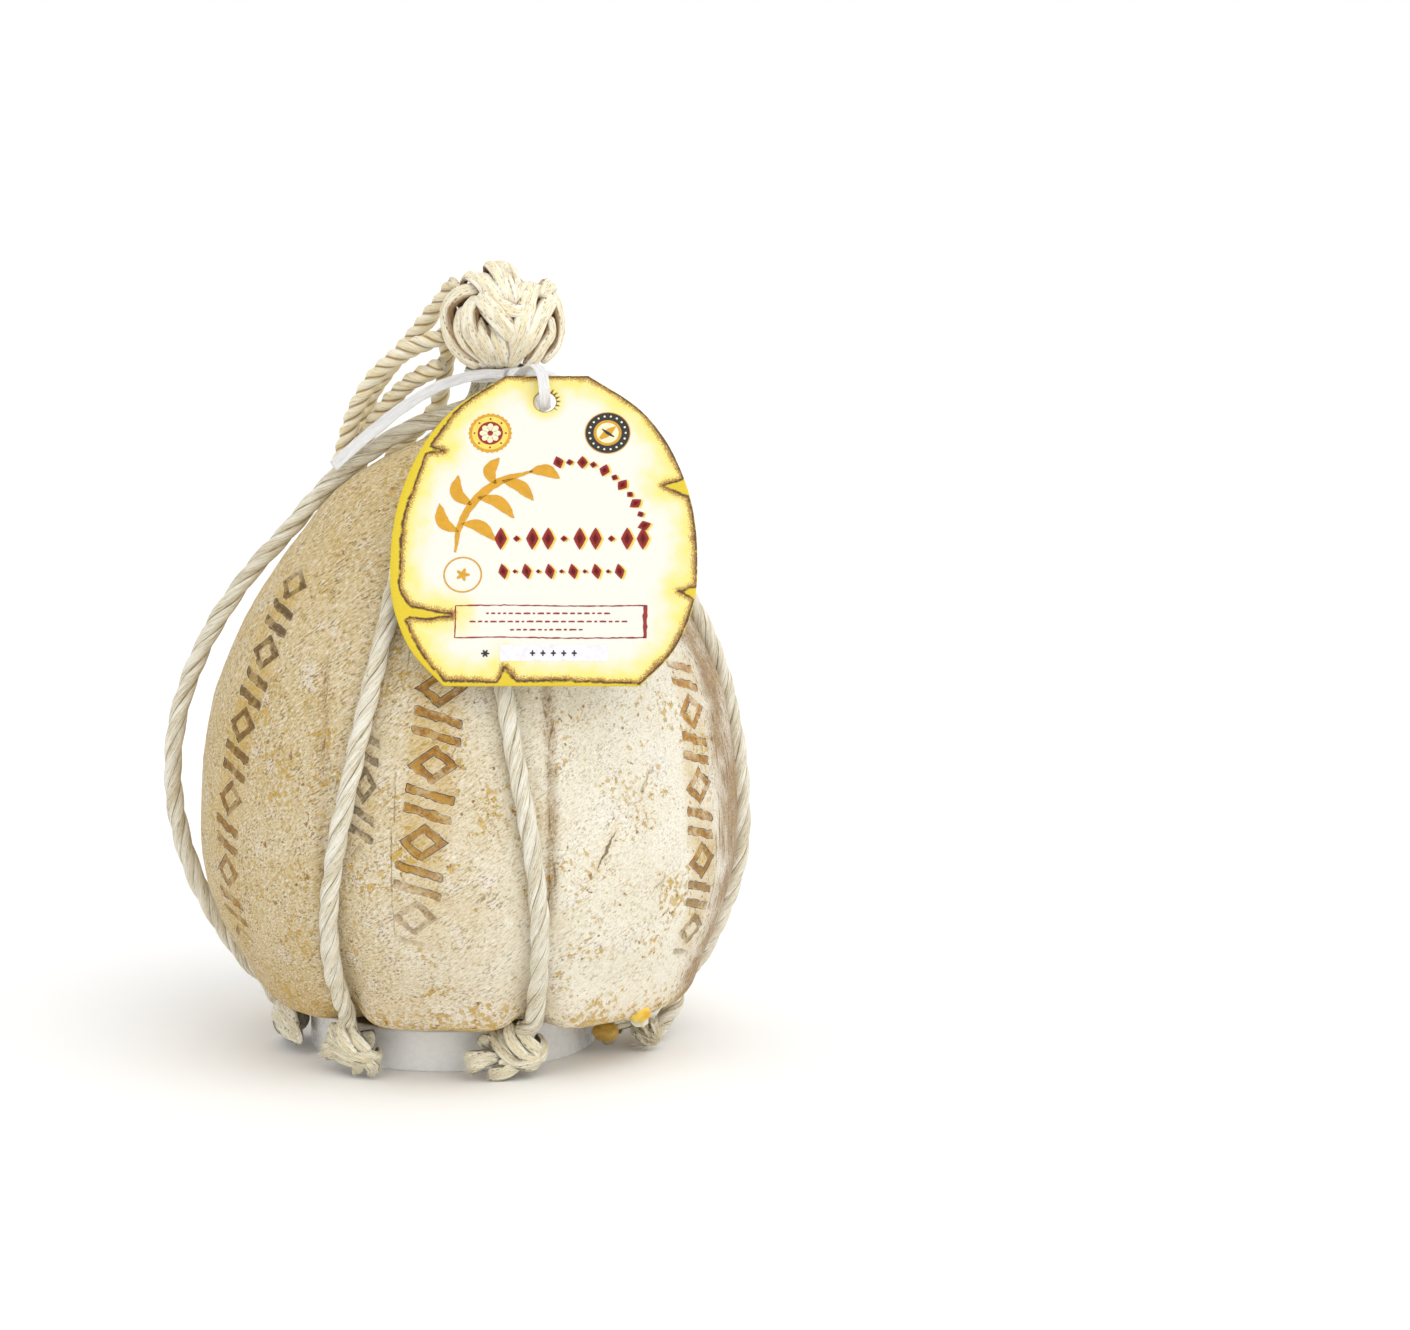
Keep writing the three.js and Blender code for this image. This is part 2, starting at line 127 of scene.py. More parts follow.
STRING_TAIL = (
    (16.4, -14.4, 222.4), (11.7, -13.2, 222.6), (7.3, -11.4, 222.1), (2.9, -9.8, 221),
    (-1.5, -8.4, 219.6), (-5.8, -7.3, 217.8), (-10.1, -6.6, 215.6), (-14.1, -6.1, 213.1),
    (-18.1, -5.6, 210.4), (-21.9, -5.1, 207.5), (-25.7, -4.7, 204.5), (-29.4, -4.3, 201.5),
    (-33.1, -4, 198.4), (-36.7, -3.9, 195.2), (-40.3, -4, 192))

# The pressed pattern: its repeat along the band; the lozenge's half width and half height, where
# its line runs as a share of them, and where that line starts and is full; the bars' space, slant,
# and half thickness where they start and are full; and the band's half width likewise.
REPEAT = 24.0
LOZENGE, LOZENGE_LINE, LOZENGE_EDGE = (8.2, 6.2), 0.74, (0.34, 0.08)
BAR_SPACE, BAR_SLANT, BAR_EDGE = 6.0, 0.28, (1.9, 0.6)
BAND_EDGE = (8.4, 7.0)
# Heights of the inks over the card's face, each over the one before.
INK_STRIP, INK_LOW, INK_MID, INK_RED, INK_TOP, INK_CROSS = 0.04, 0.05, 0.08, 0.09, 0.11, 0.12


# ---------------------------------------------------------------- small mathematics
def smooth(low: float, high: float, value: Array) -> Array:
    """Ease from 0 at low to 1 at high: 3t^2 - 2t^3 of the clipped share t."""
    share = np.clip((value - low) / (high - low), 0, 1)
    return share * share * (3 - 2 * share)


def hill(distance: Array, width: float) -> Array:
    """Bell of height 1 over a distance: exp(-(distance / width)^2)."""
    return np.exp(-((distance / width) ** 2))


def neighbours(given: Array, place: Array) -> tuple[Array, Array]:
    """Four values round each place in a list, whose ends are carried straight on.

    Args:
        given: Values or points in order.
        place: Places from 0 to the number of the last value.

    Returns:
        The four neighbours, and how far each place lies from the second to the third.
    """
    padded = np.concatenate([[2 * given[0] - given[1]], given, [2 * given[-1] - given[-2]]])
    low = np.minimum(np.floor(place).astype(int), len(given) - 2)
    return np.stack([padded[low + k] for k in range(4)]), place - low


def along(values: Sequence[float], t: Array) -> Array:
    """Uniform Catmull-Rom curve through evenly spaced values, with ends carried straight on.

    Args:
        values: Values at even steps.
        t: Places from 0 to 1.

    Returns:
        The curve's values at those places.
    """
    given = np.asarray(values, float)
    (a, b, c, d), f = neighbours(given, np.clip(np.asarray(t, float), 0, 1) * (len(given) - 1))
    return 0.5 * (2 * b + (c - a) * f + (2 * a - 5 * b + 4 * c - d) * f**2
                  + (3 * b - a - 3 * c + d) * f**3)


def unit(vectors: Array) -> Array:
    """Vectors on the last axis, brought to length 1."""
    return vectors / np.maximum(np.linalg.norm(vectors, axis=-1, keepdims=True), 1e-9)


def curve(points: Sequence[Point], step: float) -> Array:
    """Even points on the centripetal Catmull-Rom curve through the given ones.

    Each span is the cubic Hermite curve whose end slopes come from the knots' spacing, the
    fourth root of the squared distance between points.

    Args:
        points: Points that the curve passes through.
        step: Distance along the curve between the points that are returned.

    Returns:
        Points, one row each, from the first given point to the last.
    """
    given = np.asarray(points, float)
    (p0, p1, p2, p3), f = neighbours(given, np.linspace(0, len(given) - 1, 60 * len(given)))
    f = f[:, None]
    d0, d1, d2 = (np.maximum(np.sum((b - a) ** 2, -1, keepdims=True) ** 0.25, 1e-4)
                  for a, b in ((p0, p1), (p1, p2), (p2, p3)))
    m1 = ((p1 - p0) / d0 - (p2 - p0) / (d0 + d1) + (p2 - p1) / d1) * d1
    m2 = ((p2 - p1) / d1 - (p3 - p1) / (d1 + d2) + (p3 - p2) / d2) * d1
    fine = p1 + m1 * f + (3 * (p2 - p1) - 2 * m1 - m2) * f**2 + (2 * (p1 - p2) + m1 + m2) * f**3
    gone = np.concatenate([[0], np.cumsum(np.linalg.norm(np.diff(fine, axis=0), axis=1))])
    wanted = np.linspace(0, gone[-1], max(3, round(gone[-1] / step) + 1))
    return np.stack([np.interp(wanted, gone, fine[:, k]) for k in range(3)], -1)


def length_of(line: Array) -> float:
    """Length of a line of points: their summed distances."""
    return float(np.linalg.norm(np.diff(line, axis=0), axis=1).sum())


def carried(line: Array, facing: Point) -> tuple[Array, Array, Array]:
    """Directions along a line and two across it, carried on without any turn about the line.

    Args:
        line: Points in order.
        facing: Direction that the first side direction is nearest to at the start.

    Returns:
        Tangents, first and second side directions.
    """
    tangent = unit(np.gradient(line, axis=0))
    side = np.empty_like(line)
    before = np.asarray(facing, float)
    for i, ahead in enumerate(tangent):
        before = before - ahead * (before @ ahead)
        before = before / max(float(np.linalg.norm(before)), 1e-9)
        side[i] = before
    return tangent, side, np.cross(tangent, side)


def round_turn(count: int) -> Array:
    """Even angles once round, without the last that would repeat the first."""
    return np.linspace(0, FULL, count, endpoint=False)


def swept(line: Array, side: Array, other: Array, x: Array, y: Array) -> Array:
    """Rings of points round a line: each is middle + x side + y other."""
    return line[:, None] + x[..., None] * side[:, None] + y[..., None] * other[:, None]


def scatter(cells: Array, seed: int) -> Array:
    """Random number for each whole-number cell, the same every time.

    Args:
        cells: Whole numbers, three on the last axis.
        seed: Number that picks the pattern.

    Returns:
        Numbers from 0 to 1.
    """
    mixed = cells[..., 0] * 73856093 ^ cells[..., 1] * 19349663 ^ cells[..., 2] * 83492791
    mixed = (mixed ^ (seed + 1) * 2654435761) & 0xFFFFFFFF
    mixed = ((mixed ^ (mixed >> 15)) * 2246822519) & 0xFFFFFFFF
    mixed = ((mixed ^ (mixed >> 13)) * 3266489917) & 0xFFFFFFFF
    return (mixed ^ (mixed >> 16)) / 0xFFFFFFFF


def noise(points: Array, size: float, seed: int, octaves: int = 1) -> Array:
    """Smooth random hills: eased trilinear mixing of a random lattice, octaves added at half size.

    Args:
        points: Points in millimetres, on the last axis.
        size: Lattice spacing of the first octave.
        seed: Number that picks the pattern.
        octaves: How many octaves, each of half the size and height of the one before.

    Returns:
        Numbers from about -1 to 1.
    """
    total, weight = 0.0, 0.0
    for octave in range(octaves):
        place = points * 2**octave / size
        low = np.floor(place).astype(np.int64)
        f = place - low
        f = f * f * (3 - 2 * f)
        here = 0.0
        for corner in np.ndindex(2, 2, 2):
            share = np.prod(np.where(corner, f, 1 - f), axis=-1)
            here = here + share * scatter(low + np.array(corner), seed + 31 * octave)
        total = total + (2 * here - 1) / 2**octave
        weight += 1 / 2**octave
    return total / weight


# ---------------------------------------------------------------- meshes
def grid_faces(index: Array, wrap: bool = True) -> Array:
    """Two triangles to each cell of a grid of point numbers.

    Args:
        index: Point numbers, with rows and columns on the last two axes.
        wrap: Whether the last column joins the first.

    Returns:
        Triangles, first the one half of the cells and then the other.
    """
    right = np.roll(index, -1, axis=-1) if wrap else index[..., 1:]
    left = index if wrap else index[..., :-1]
    a, b, c, d = left[..., :-1, :], right[..., :-1, :], right[..., 1:, :], left[..., 1:, :]
    return np.concatenate([np.stack(three, -1).reshape(-1, 3) for three in ((a, b, c), (a, c, d))])


@dataclass
class Shell:
    """Points, triangles and values at the points of one surface."""

    points: Array
    faces: Array
    values: dict[str, Array] = field(default_factory=dict)

    @staticmethod
    def of_grid(points: Array, values: dict[str, Array], wrap: bool = True, caps: bool = True) -> "Shell":
        """Surface over a grid of points: two triangles to a cell, and a fan over each open end.

        Args:
            points: Points on a grid of rows and columns.
            values: Named values on the same grid.
            wrap: Whether the last column joins the first.
            caps: Whether the first and last rows are closed.

        Returns:
            The surface.
        """
        rows, columns = points.shape[:2]
        index = np.arange(rows * columns).reshape(rows, columns)
        faces = [grid_faces(index, wrap)]
        flat = points.reshape(-1, 3)
        named = {name: grid.reshape(rows * columns, -1) for name, grid in values.items()}
        if caps:
            flat = np.vstack([flat, points[0].mean(0), points[-1].mean(0)])
            first, last = index[0], index[-1]
            pole = np.full_like(first, rows * columns)
            faces.append(np.stack([np.roll(first, -1), first, pole], -1))
            faces.append(np.stack([last, np.roll(last, -1), pole + 1], -1))
            named = {
                name: np.vstack([rows_of, rows_of[:columns].mean(0), rows_of[-columns:].mean(0)])
                for name, rows_of in named.items()}
        return Shell(flat, np.vstack(faces), named)

    @staticmethod
    def joined(shells: Sequence["Shell"]) -> "Shell":
        """Several surfaces as one.

        Args:
            shells: Surfaces that carry the same named values.

        Returns:
            One surface.
        """
        starts = np.cumsum([0] + [len(s.points) for s in shells[:-1]])
        names = shells[0].values
        return Shell(
            np.vstack([s.points for s in shells]),
            np.vstack([s.faces + start for s, start in zip(shells, starts)]),
            {name: np.vstack([s.values[name] for s in shells]) for name in names})

    def piece(self, name: str, material: bpy.types.Material, slot: Slot) -> bpy.types.Object:
        """Blender object of this surface, which rides on the CAD body.

        Args:
            name: Name of the piece.
            material: Its finish.
            slot: Not used.

        Returns:
            The object.
        """
        mesh = bpy.data.meshes.new(name)
        mesh.vertices.add(len(self.points))
        mesh.vertices.foreach_set("co", (self.points * MM).astype(np.float32).ravel())
        mesh.loops.add(self.faces.size)
        mesh.loops.foreach_set("vertex_index", self.faces.astype(np.int32).ravel())
        mesh.polygons.add(len(self.faces))
        mesh.polygons.foreach_set("loop_start", np.arange(0, self.faces.size, 3, dtype=np.int32))
        mesh.update(calc_edges=True)
        for key, value in self.values.items():
            kind, field_name = ("FLOAT", "value") if value.shape[1] == 1 else ("FLOAT_VECTOR", "vector")
            layer = mesh.attributes.new(key, kind, "POINT")
            layer.data.foreach_set(field_name, value.astype(np.float32).ravel())
        mesh.validate()
        mesh.materials.append(material)
        made = bpy.data.objects.new(name, mesh)
        bpy.context.scene.collection.objects.link(made)
        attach(made, BODY)
        log.info("%s: %d triangles", name, len(self.faces))
        return made


# ---------------------------------------------------------------- material graphs
def linear(colour: Colour) -> tuple[float, float, float, float]:
    """Linear colour of a display colour.

    Args:
        colour: Red, green and blue from 0 to 255.

    Returns:
        Red, green, blue and 1.
    """
    parts = [c / 255 for c in colour]
    made = [p / 12.92 if p <= 0.04045 else ((p + 0.055) / 1.055) ** 2.4 for p in parts]
    return (made[0], made[1], made[2], 1.0)


Number = Union[float, "Term"]


class Term:
    """A value in a material's graph. Arithmetic on it adds nodes."""

    def __init__(self, graph: "Graph", socket: bpy.types.NodeSocket) -> None:
        """Wraps an output socket of a graph."""
        self.graph = graph
        self.socket = socket

    def __add__(self, other: Number) -> "Term":
        """Sum."""
        return self.graph.math("ADD", self, other)

    def __mul__(self, other: Number) -> "Term":
        """Product."""
        return self.graph.math("MULTIPLY", self, other)

    def __sub__(self, other: Number) -> "Term":
        """Difference."""
        return self.graph.math("SUBTRACT", self, other)

    def __truediv__(self, other: Number) -> "Term":
        """Quotient."""
        return self.graph.math("DIVIDE", self, other)

    def __abs__(self) -> "Term":
        """Size without sign."""
        return self.graph.math("ABSOLUTE", self)

    def lower(self, other: Number) -> "Term":
        """The smaller of two values."""
        return self.graph.math("MINIMUM", self, other)

    def upper(self, other: Number) -> "Term":
        """The larger of two values."""
        return self.graph.math("MAXIMUM", self, other)

    def fold(self, period: float) -> "Term":
        """Value measured from the middle of its period, from -period/2 to period/2."""
        return self.graph.math("WRAP", self, period / 2, -period / 2)

    def ease(self, low: float, high: float) -> "Term":
        """Smooth step, falling where low is above high.

        Args:
            low: Value that gives 0.
            high: Value that gives 1.

        Returns:
            Numbers from 0 to 1.
        """
        node = self.graph.node("ShaderNodeMapRange", interpolation_type="SMOOTHSTEP")
        self.graph.feed(node.inputs["Value"], self)
        for name, value in (("From Min", min(low, high)), ("From Max", max(low, high)),
                            ("To Min", float(low > high)), ("To Max", float(low <= high))):
            node.inputs[name].default_value = value
        return Term(self.graph, node.outputs["Result"])


class Graph:
    """A material's node graph, built from formulas."""

    def __init__(self, name: str) -> None:
        """Starts a material with one Principled shader.

        Args:
            name: Name of the material.
        """
        self.material = bpy.data.materials.new(name)
        self.material.use_nodes = True
        self.tree = self.material.node_tree
        self.shader = self.tree.nodes["Principled BSDF"]

    def node(self, kind: str, **settings: str) -> bpy.types.Node:
        """New node with some of its settings.

        Args:
            kind: Blender's node type.
            **settings: Properties of the node.

        Returns:
            The node.
        """
        made = self.tree.nodes.new(kind)
        for key, value in settings.items():
            setattr(made, key, value)
        return made

    def feed(self, socket: bpy.types.NodeSocket, value: Union[Number, Sequence[float]]) -> None:
        """Links a term to an input socket, or sets a constant on it."""
        if isinstance(value, Term):
            self.tree.links.new(value.socket, socket)
        else:
            socket.default_value = value

    def math(self, operation: str, *values: Number) -> Term:
        """Arithmetic node.

        Args:
            operation: Blender's name of the operation.
            *values: Its inputs in order.

        Returns:
            The result.
        """
        made = self.node("ShaderNodeMath", operation=operation)
        for socket, value in zip(made.inputs, values):
            self.feed(socket, value)
        return Term(self, made.outputs[0])

    def place(self) -> Term:
        """Position on the object, in metres."""
        return Term(self, self.node("ShaderNodeTexCoord").outputs["Object"])

    def value(self, name: str) -> Term:
        """Number of the given name, stored at the mesh's points."""
        return Term(self, self.node("ShaderNodeAttribute", attribute_name=name).outputs["Fac"])

    def vector(self, name: str) -> Term:
        """Vector of the given name, stored at the mesh's points."""
        return Term(self, self.node("ShaderNodeAttribute", attribute_name=name).outputs["Vector"])

    def parts(self, vector: Term) -> tuple[Term, Term, Term]:
        """The three numbers of a vector.

        Args:
            vector: Vector term.

        Returns:
            Its three numbers.
        """
        made = self.node("ShaderNodeSeparateXYZ")
        self.feed(made.inputs[0], vector)
        return tuple(Term(self, out) for out in made.outputs)

    def mapped(self, vector: Term, scale: Point, turn: Point = (0, 0, 0)) -> Term:
        """Vector turned and then scaled on each axis.

        Args:
            vector: Vector term.
            scale: Factor for each axis.
            turn: Turn about each axis in degrees.

        Returns:
            The new vector.
        """
        turned = self.node("ShaderNodeMapping")
        self.feed(turned.inputs["Vector"], vector)
        turned.inputs["Rotation"].default_value = [math.radians(t) for t in turn]
        scaled = self.node("ShaderNodeMapping")
        self.feed(scaled.inputs["Vector"], Term(self, turned.outputs[0]))
        scaled.inputs["Scale"].default_value = scale
        return Term(self, scaled.outputs[0])

    def noise(self, vector: Term, scale: float, detail: float = 2.0, rough: float = 0.5) -> Term:
        """Fractal noise from 0 to 1.

        Args:
            vector: Where it is read.
            scale: Hills per unit.
            detail: Number of octaves.
            rough: Height of each octave against the one before.

        Returns:
            The noise.
        """
        made = self.node("ShaderNodeTexNoise")
        self.feed(made.inputs["Vector"], vector)
        made.inputs["Scale"].default_value = scale
        made.inputs["Detail"].default_value = detail
        made.inputs["Roughness"].default_value = rough
        return Term(self, made.outputs[0])

    def blend(self, share: Number, low: Union[Term, Colour], high: Union[Term, Colour]) -> Term:
        """Mix of two colours.

        Args:
            share: 0 gives the first colour and 1 the second.
            low: First colour.
            high: Second colour.

        Returns:
            The colour.
        """
        made = self.node("ShaderNodeMix", data_type="RGBA")
        self.feed(made.inputs[0], share)
        for socket, colour in ((made.inputs[6], low), (made.inputs[7], high)):
            self.feed(socket, colour if isinstance(colour, Term) else linear(colour))
        return Term(self, made.outputs[2])

    def layered(self, colour: Term, *layers: tuple[Number, Union[Term, Colour]]) -> Term:
        """Colours laid over a first one in turn.

        Args:
            colour: The first colour.
            *layers: How far each one covers, from 0 to 1, and its colour.

        Returns:
            The colour on top.
        """
        for share, paint in layers:
            colour = self.blend(share, colour, paint)
        return colour

    def relief(self, height: Term, depth: float) -> Term:
        """Bump from a height.

        Args:
            height: Height from 0 to 1.
            depth: Millimetres that a height of 1 stands for.

        Returns:
            The surface normal.
        """
        made = self.node("ShaderNodeBump")
        made.inputs["Distance"].default_value = depth * MM
        self.feed(made.inputs["Height"], height)
        return Term(self, made.outputs[0])

    def finished(self, colour: Term, roughness: Number,
                 normal: Union[Term, None] = None) -> bpy.types.Material:
        """Material with the given surface.

        Args:
            colour: Base colour.
            roughness: Roughness.
            normal: Surface normal from relief().

        Returns:
            The material.
        """
        self.feed(self.shader.inputs["Base Color"], colour)
        self.feed(self.shader.inputs["Roughness"], roughness)
        if normal is not None:
            self.feed(self.shader.inputs["Normal"], normal)
        return self.material


# ---------------------------------------------------------------- finishes
@dataclass(frozen=True)
class Rind:
    """Dry, woolly cheese rind with mould specks, pressed marks and cracks, and painted shade on its right
    limb, along its creases and partly on its left side.
    """

    pale: Colour = (247, 241, 222)
    # sandy tint towards the left and the top, which on the left side is partly painted shade
    sandy: Colour = (214, 190, 138)
    # pale flecks, and the painted highlight on the lips of the pressed marks
    fleck_and_highlight: Colour = (255, 254, 249)
    mist: Colour = (240, 234, 228)
    olive: Colour = (126, 100, 50)
    ochre: Colour = (206, 166, 58)
    rust: Colour = (138, 94, 40)
    amber: Colour = (176, 112, 22)
    honey: Colour = (212, 158, 52)
    # dark ink, and the painted shade on the pressed marks' sides and in the cracks
    burnt: Colour = (70, 48, 20)
    # brown of the painted shade on the right limb and along the creases
    shade: Colour = (148, 108, 46)

    def pattern(self, g: Graph) -> Term:
        """Pressed border pattern: hollow lozenges in turn with pairs of slanted bars.

        In each repeat of the band, a lozenge is where |x|/wide + |y|/high is near its line's share, and
        a bar is where the slanted height is near half the bars' spacing from the pair's middle.

        Args:
            g: Graph that it is added to.

        Returns:
            1 on a mark, falling to 0 outside it.
        """
        across, up, strength = g.parts(g.vector("band"))
        wobble = (g.noise(g.place(), 260, 2, 0.5) - 0.5) * 1.6
        across, up = across + wobble, up + wobble
        first, second = up.fold(REPEAT), (up + REPEAT / 2).fold(REPEAT)
        spread = abs(across) / LOZENGE[0] + abs(first) / LOZENGE[1]
        lozenge = abs(spread - LOZENGE_LINE).ease(*LOZENGE_EDGE)
        bars = abs(abs(second + across * BAR_SLANT) - BAR_SPACE / 2).ease(*BAR_EDGE)
        return lozenge.upper(bars * abs(across).ease(*BAND_EDGE)) * strength

    def material(self) -> bpy.types.Material:
        """The rind's material.

        Returns:
            The material.
        """
        g = Graph("rind")
        place = g.place()
        tint_and_left_shade, low, shade, tone = (g.value(name) for name in ("tint_and_left_shade", "low", "shade", "tone"))
        wool = g.noise(g.mapped(place, (520, 1250, 1850), (0, 34, 0)), 1, 3, 0.62)
        fine = g.noise(place, 1900, 2, 0.65)
        patch = g.noise(place, 60, 3, 0.55)
        crowd = g.noise(place, 48, 3, 0.6)
        streak = g.noise(g.mapped(place, (900, 900, 90)), 1, 3, 0.6)
        # tints in large patches, the left-side tint partly painted shade, and a mottled painted shade on the
        # right limb and along the creases; then the woolly nap with its dark hollows
        # share of the painted shade; dark flecks grow with the tint and the painted shade, and pale flecks
        # thin out in the painted shade
        dim = (shade * (streak * 1.3 + patch * 2.2 + crowd * 1.2 - 1.25)).ease(0.0, 1.3) * 0.85
        dusk = (tint_and_left_shade * 0.72 + 0.28 + shade * 0.3).lower(1.0)
        calm = shade * -0.35 + 1.0
        marble = g.noise(place, 130, 4, 0.65)
        colour = g.layered(
            g.blend((tint_and_left_shade + (patch - 0.5) * 0.7).ease(0.0, 1.1), self.pale, self.sandy),
            (low * (patch * 0.4 + 0.02), self.honey), (dim, self.shade),
            (marble.ease(0.56, 0.66) * calm * 0.4, self.mist),
            (wool.ease(0.52, 0.64) * (marble.ease(0.36, 0.6) * 0.55 + 0.4) * dusk, self.olive),
            (wool.ease(0.46, 0.34) * calm * 0.5, self.fleck_and_highlight),
            (fine.ease(0.57, 0.69) * 0.6 * dusk, self.olive))
        # mould: small dots, blooms with a darker rim and rare spots; then rust-coloured streaks that mottle
        # the painted shade
        dots = (g.noise(place, 520, 2, 0.6) + (crowd - 0.5) * 0.7 + low * 0.13).ease(0.61, 0.70)
        bloom = g.noise(place, 260, 3, 0.7) + (crowd - 0.5) * 0.55 + low * 0.11
        rare = (g.noise(place, 430, 1, 0.5) + (crowd - 0.5) * 0.35).ease(0.72, 0.77)
        colour = g.layered(
            colour, (dots * 0.7, self.ochre), (bloom.ease(0.63, 0.74) * 0.5, self.ochre),
            (abs(bloom - 0.69).ease(0.035, 0.0) * fine.ease(0.45, 0.6) * 0.6, self.rust),
            (rare * 0.8, self.rust), (shade.ease(0.1, 0.4) * streak.ease(0.56, 0.64) * 0.7, self.rust))
        # pressed marks: stain round them, worn ink, a dark rim that is painted shade on their sloping sides,
        # and a painted highlight on the lip round them
        worn = g.noise(place, 170, 3, 0.6).ease(0.38, 0.52)
        mark = self.pattern(g)
        pressed = mark * (worn * 0.6 + 0.45).lower(1.0)
        across, _, strength = g.parts(g.vector("band"))
        spread = (abs(across) + (crowd - 0.5) * 14).ease(10.5, 4.5)
        fill = g.blend(g.noise(place, 420, 3, 0.6).ease(0.4, 0.62), self.honey, self.amber)
        rim = abs(mark - 0.38).ease(0.3, 0.05) * g.noise(place, 320, 2).ease(0.36, 0.52)
        colour = g.layered(
            colour, (strength * spread * (patch * 0.9 + crowd * 0.9 - 0.5).upper(0.0), self.ochre),
            (pressed * 0.92, g.blend(tone.lower(1.0), fill, self.burnt)),
            (rim * (worn * 0.6 + 0.4) * 0.85 * strength, self.burnt),
            (abs(mark - 0.12).ease(0.1, 0.02) * strength * 0.45, self.fleck_and_highlight))
        # cracks with a stained bank, and a dark gap that is painted shade in the crack
        ahead, aside, cracked = g.parts(g.vector("crack"))
        reach = abs(aside + (g.noise(place, 240, 3, 0.6) - 0.5) * 4.5) + ahead * ahead * 0.7
        gap = reach.ease(0.6, 0.2) * cracked
        colour = g.layered(
            colour, (reach.ease(2.6, 0.4) * cracked * fine.ease(0.4, 0.6) * 0.45, self.ochre),
            (gap * 0.7, self.burnt))
        height = fine * 0.5 - wool * 0.9 - dots * 0.3 - pressed * 1.2 - gap * 1.2
        return g.finished(colour, 0.74, g.relief(height, 0.75))


@dataclass(frozen=True)
class Rope:
    """Twisted raffia: streaks along the strands, and painted shade where they meet."""

    name: str
    light: Colour = (250, 247, 234)
    dull: Colour = (222, 211, 182)
    # dark fibre lines, and the painted shade in the crevices and in knots' hollows
    deep: Colour = (112, 90, 50)
    coarse: float = 1.0
    # crevice depth above which the painted shade starts
    crevice: float = 0.78

    def material(self) -> bpy.types.Material:
        """The rope's material.

        Returns:
            The material.
        """
        g = Graph(self.name)
        lay = g.vector("lay")
        groove = g.value("groove")
        fine = 1 / self.coarse
        streak = g.noise(g.mapped(lay, (3.0 * fine, 3.0 * fine, 0.14)), 1, 3, 0.7)
        thread = g.noise(g.mapped(lay, (6.0 * fine, 6.0 * fine, 0.3)), 1, 2, 0.6)
        ridge = abs(g.noise(g.mapped(lay, (1.3 * fine, 1.3 * fine, 0.09)), 1, 2, 0.5) - 0.5)
        band = g.noise(g.mapped(lay, (0.5, 0.5, 0.05)), 1, 2, 0.5)
        colour = g.layered(
            g.blend((streak * 1.1 + band * 0.6).ease(0.66, 0.98), self.light, self.dull),
            (thread.ease(0.58, 0.70) * 0.6, self.deep),
            (ridge.ease(0.022, 0.004) * band.ease(0.42, 0.6) * (0.75 / self.coarse), self.deep),
            # painted shade in the crevices between strands, in knots' hollows and on knots' cores
            ((groove + (streak - 0.5) * 0.4).ease(self.crevice, 1.0) * 0.9, self.deep))
        return g.finished(colour, 0.58, g.relief(streak + thread * 0.6, 0.35))


@dataclass(frozen=True)
class Plain:
    """Slightly uneven single-coloured stuff, such as moulded plastic, wax or ink."""

    name: str
    main: Colour
    other: Colour
    roughness: float
    grain: float = 120
    depth: float = 0.05

    def material(self) -> bpy.types.Material:
        """The material.

        Returns:
            The material.
        """
        g = Graph(self.name)
        place = g.place()
        cloud = g.noise(place, self.grain, 3, 0.55)
        fine = g.noise(place, self.grain * 9, 2, 0.6)
        colour = g.blend(cloud.ease(0.35, 0.7), self.main, self.other)
        return g.finished(colour, (fine - 0.5) * 0.3 + self.roughness, g.relief(fine, self.depth))


@dataclass(frozen=True)
class CardStock:
    """Card printed like scorched parchment with a torn border."""

    face: Colour = (233, 230, 219)
    glow: Colour = (240, 222, 96)
    border: Colour = (232, 212, 30)
    shaded: Colour = (204, 168, 26)
    speck: Colour = (150, 88, 12)
    burnt: Colour = (58, 28, 4)
    eye: Point = (-0.5, 95.5, 0.0)

    def material(self) -> bpy.types.Material:
        """The card's material.

        Returns:
            The material.
        """
        g = Graph("card")
        spot = g.vector("card")
        across, up, _ = g.parts(spot)
        hole = g.value("hole")
        shake = (g.noise(spot, 1.1, 3, 0.6) - 0.5) * 0.9
        tear = g.value("tear") + shake
        cloud = g.noise(spot, 0.16, 3, 0.6)
        grain = g.noise(spot, 3.4, 2, 0.6)
        scorch = (grain + tear.ease(3.4, 0.0) * 0.40 - 0.70).ease(-0.02, 0.12)
        turn = g.math("ARCTAN2", up - self.eye[1], across - self.eye[0])
        ticks = g.math("SINE", turn * 19 + grain * 3).ease(-0.1, 0.7)
        ticks = ticks * turn.ease(-1.2, -0.3) * turn.ease(1.5, 0.9) * hole.ease(1.9, 0.5)
        colour = g.layered(
            g.blend((tear + (cloud - 0.5) * 9).ease(10.5, 0.4) * 0.9, self.face, self.glow),
            (scorch * tear.ease(3.6, 0.4) * 0.9, self.speck),
            (tear.ease(0.15, -0.1), g.blend(grain, self.border, self.shaded)),
            (abs(tear).ease(0.62, 0.08) * g.noise(spot, 0.5, 2).ease(0.2, 0.5) * 0.95, self.burnt),
            (hole.ease(4.6, 0.2) * 0.8, self.glow), (ticks, self.burnt),
            (hole.ease(0.55, 0.1) * 0.8, self.speck))
        return g.finished(colour, 0.4)


@dataclass(frozen=True)
class Floor:
    """Pale matt table."""

    colour: Colour = (252, 252, 252)
    cloud: Colour = (254, 254, 254)

    def material(self) -> bpy.types.Material:
        """The floor's material.

        Returns:
            The material.
        """
        g = Graph("floor")
        share = g.noise(g.place(), 6, 2, 0.5)
        return g.finished(g.blend(share, self.colour, self.cloud), 0.85)


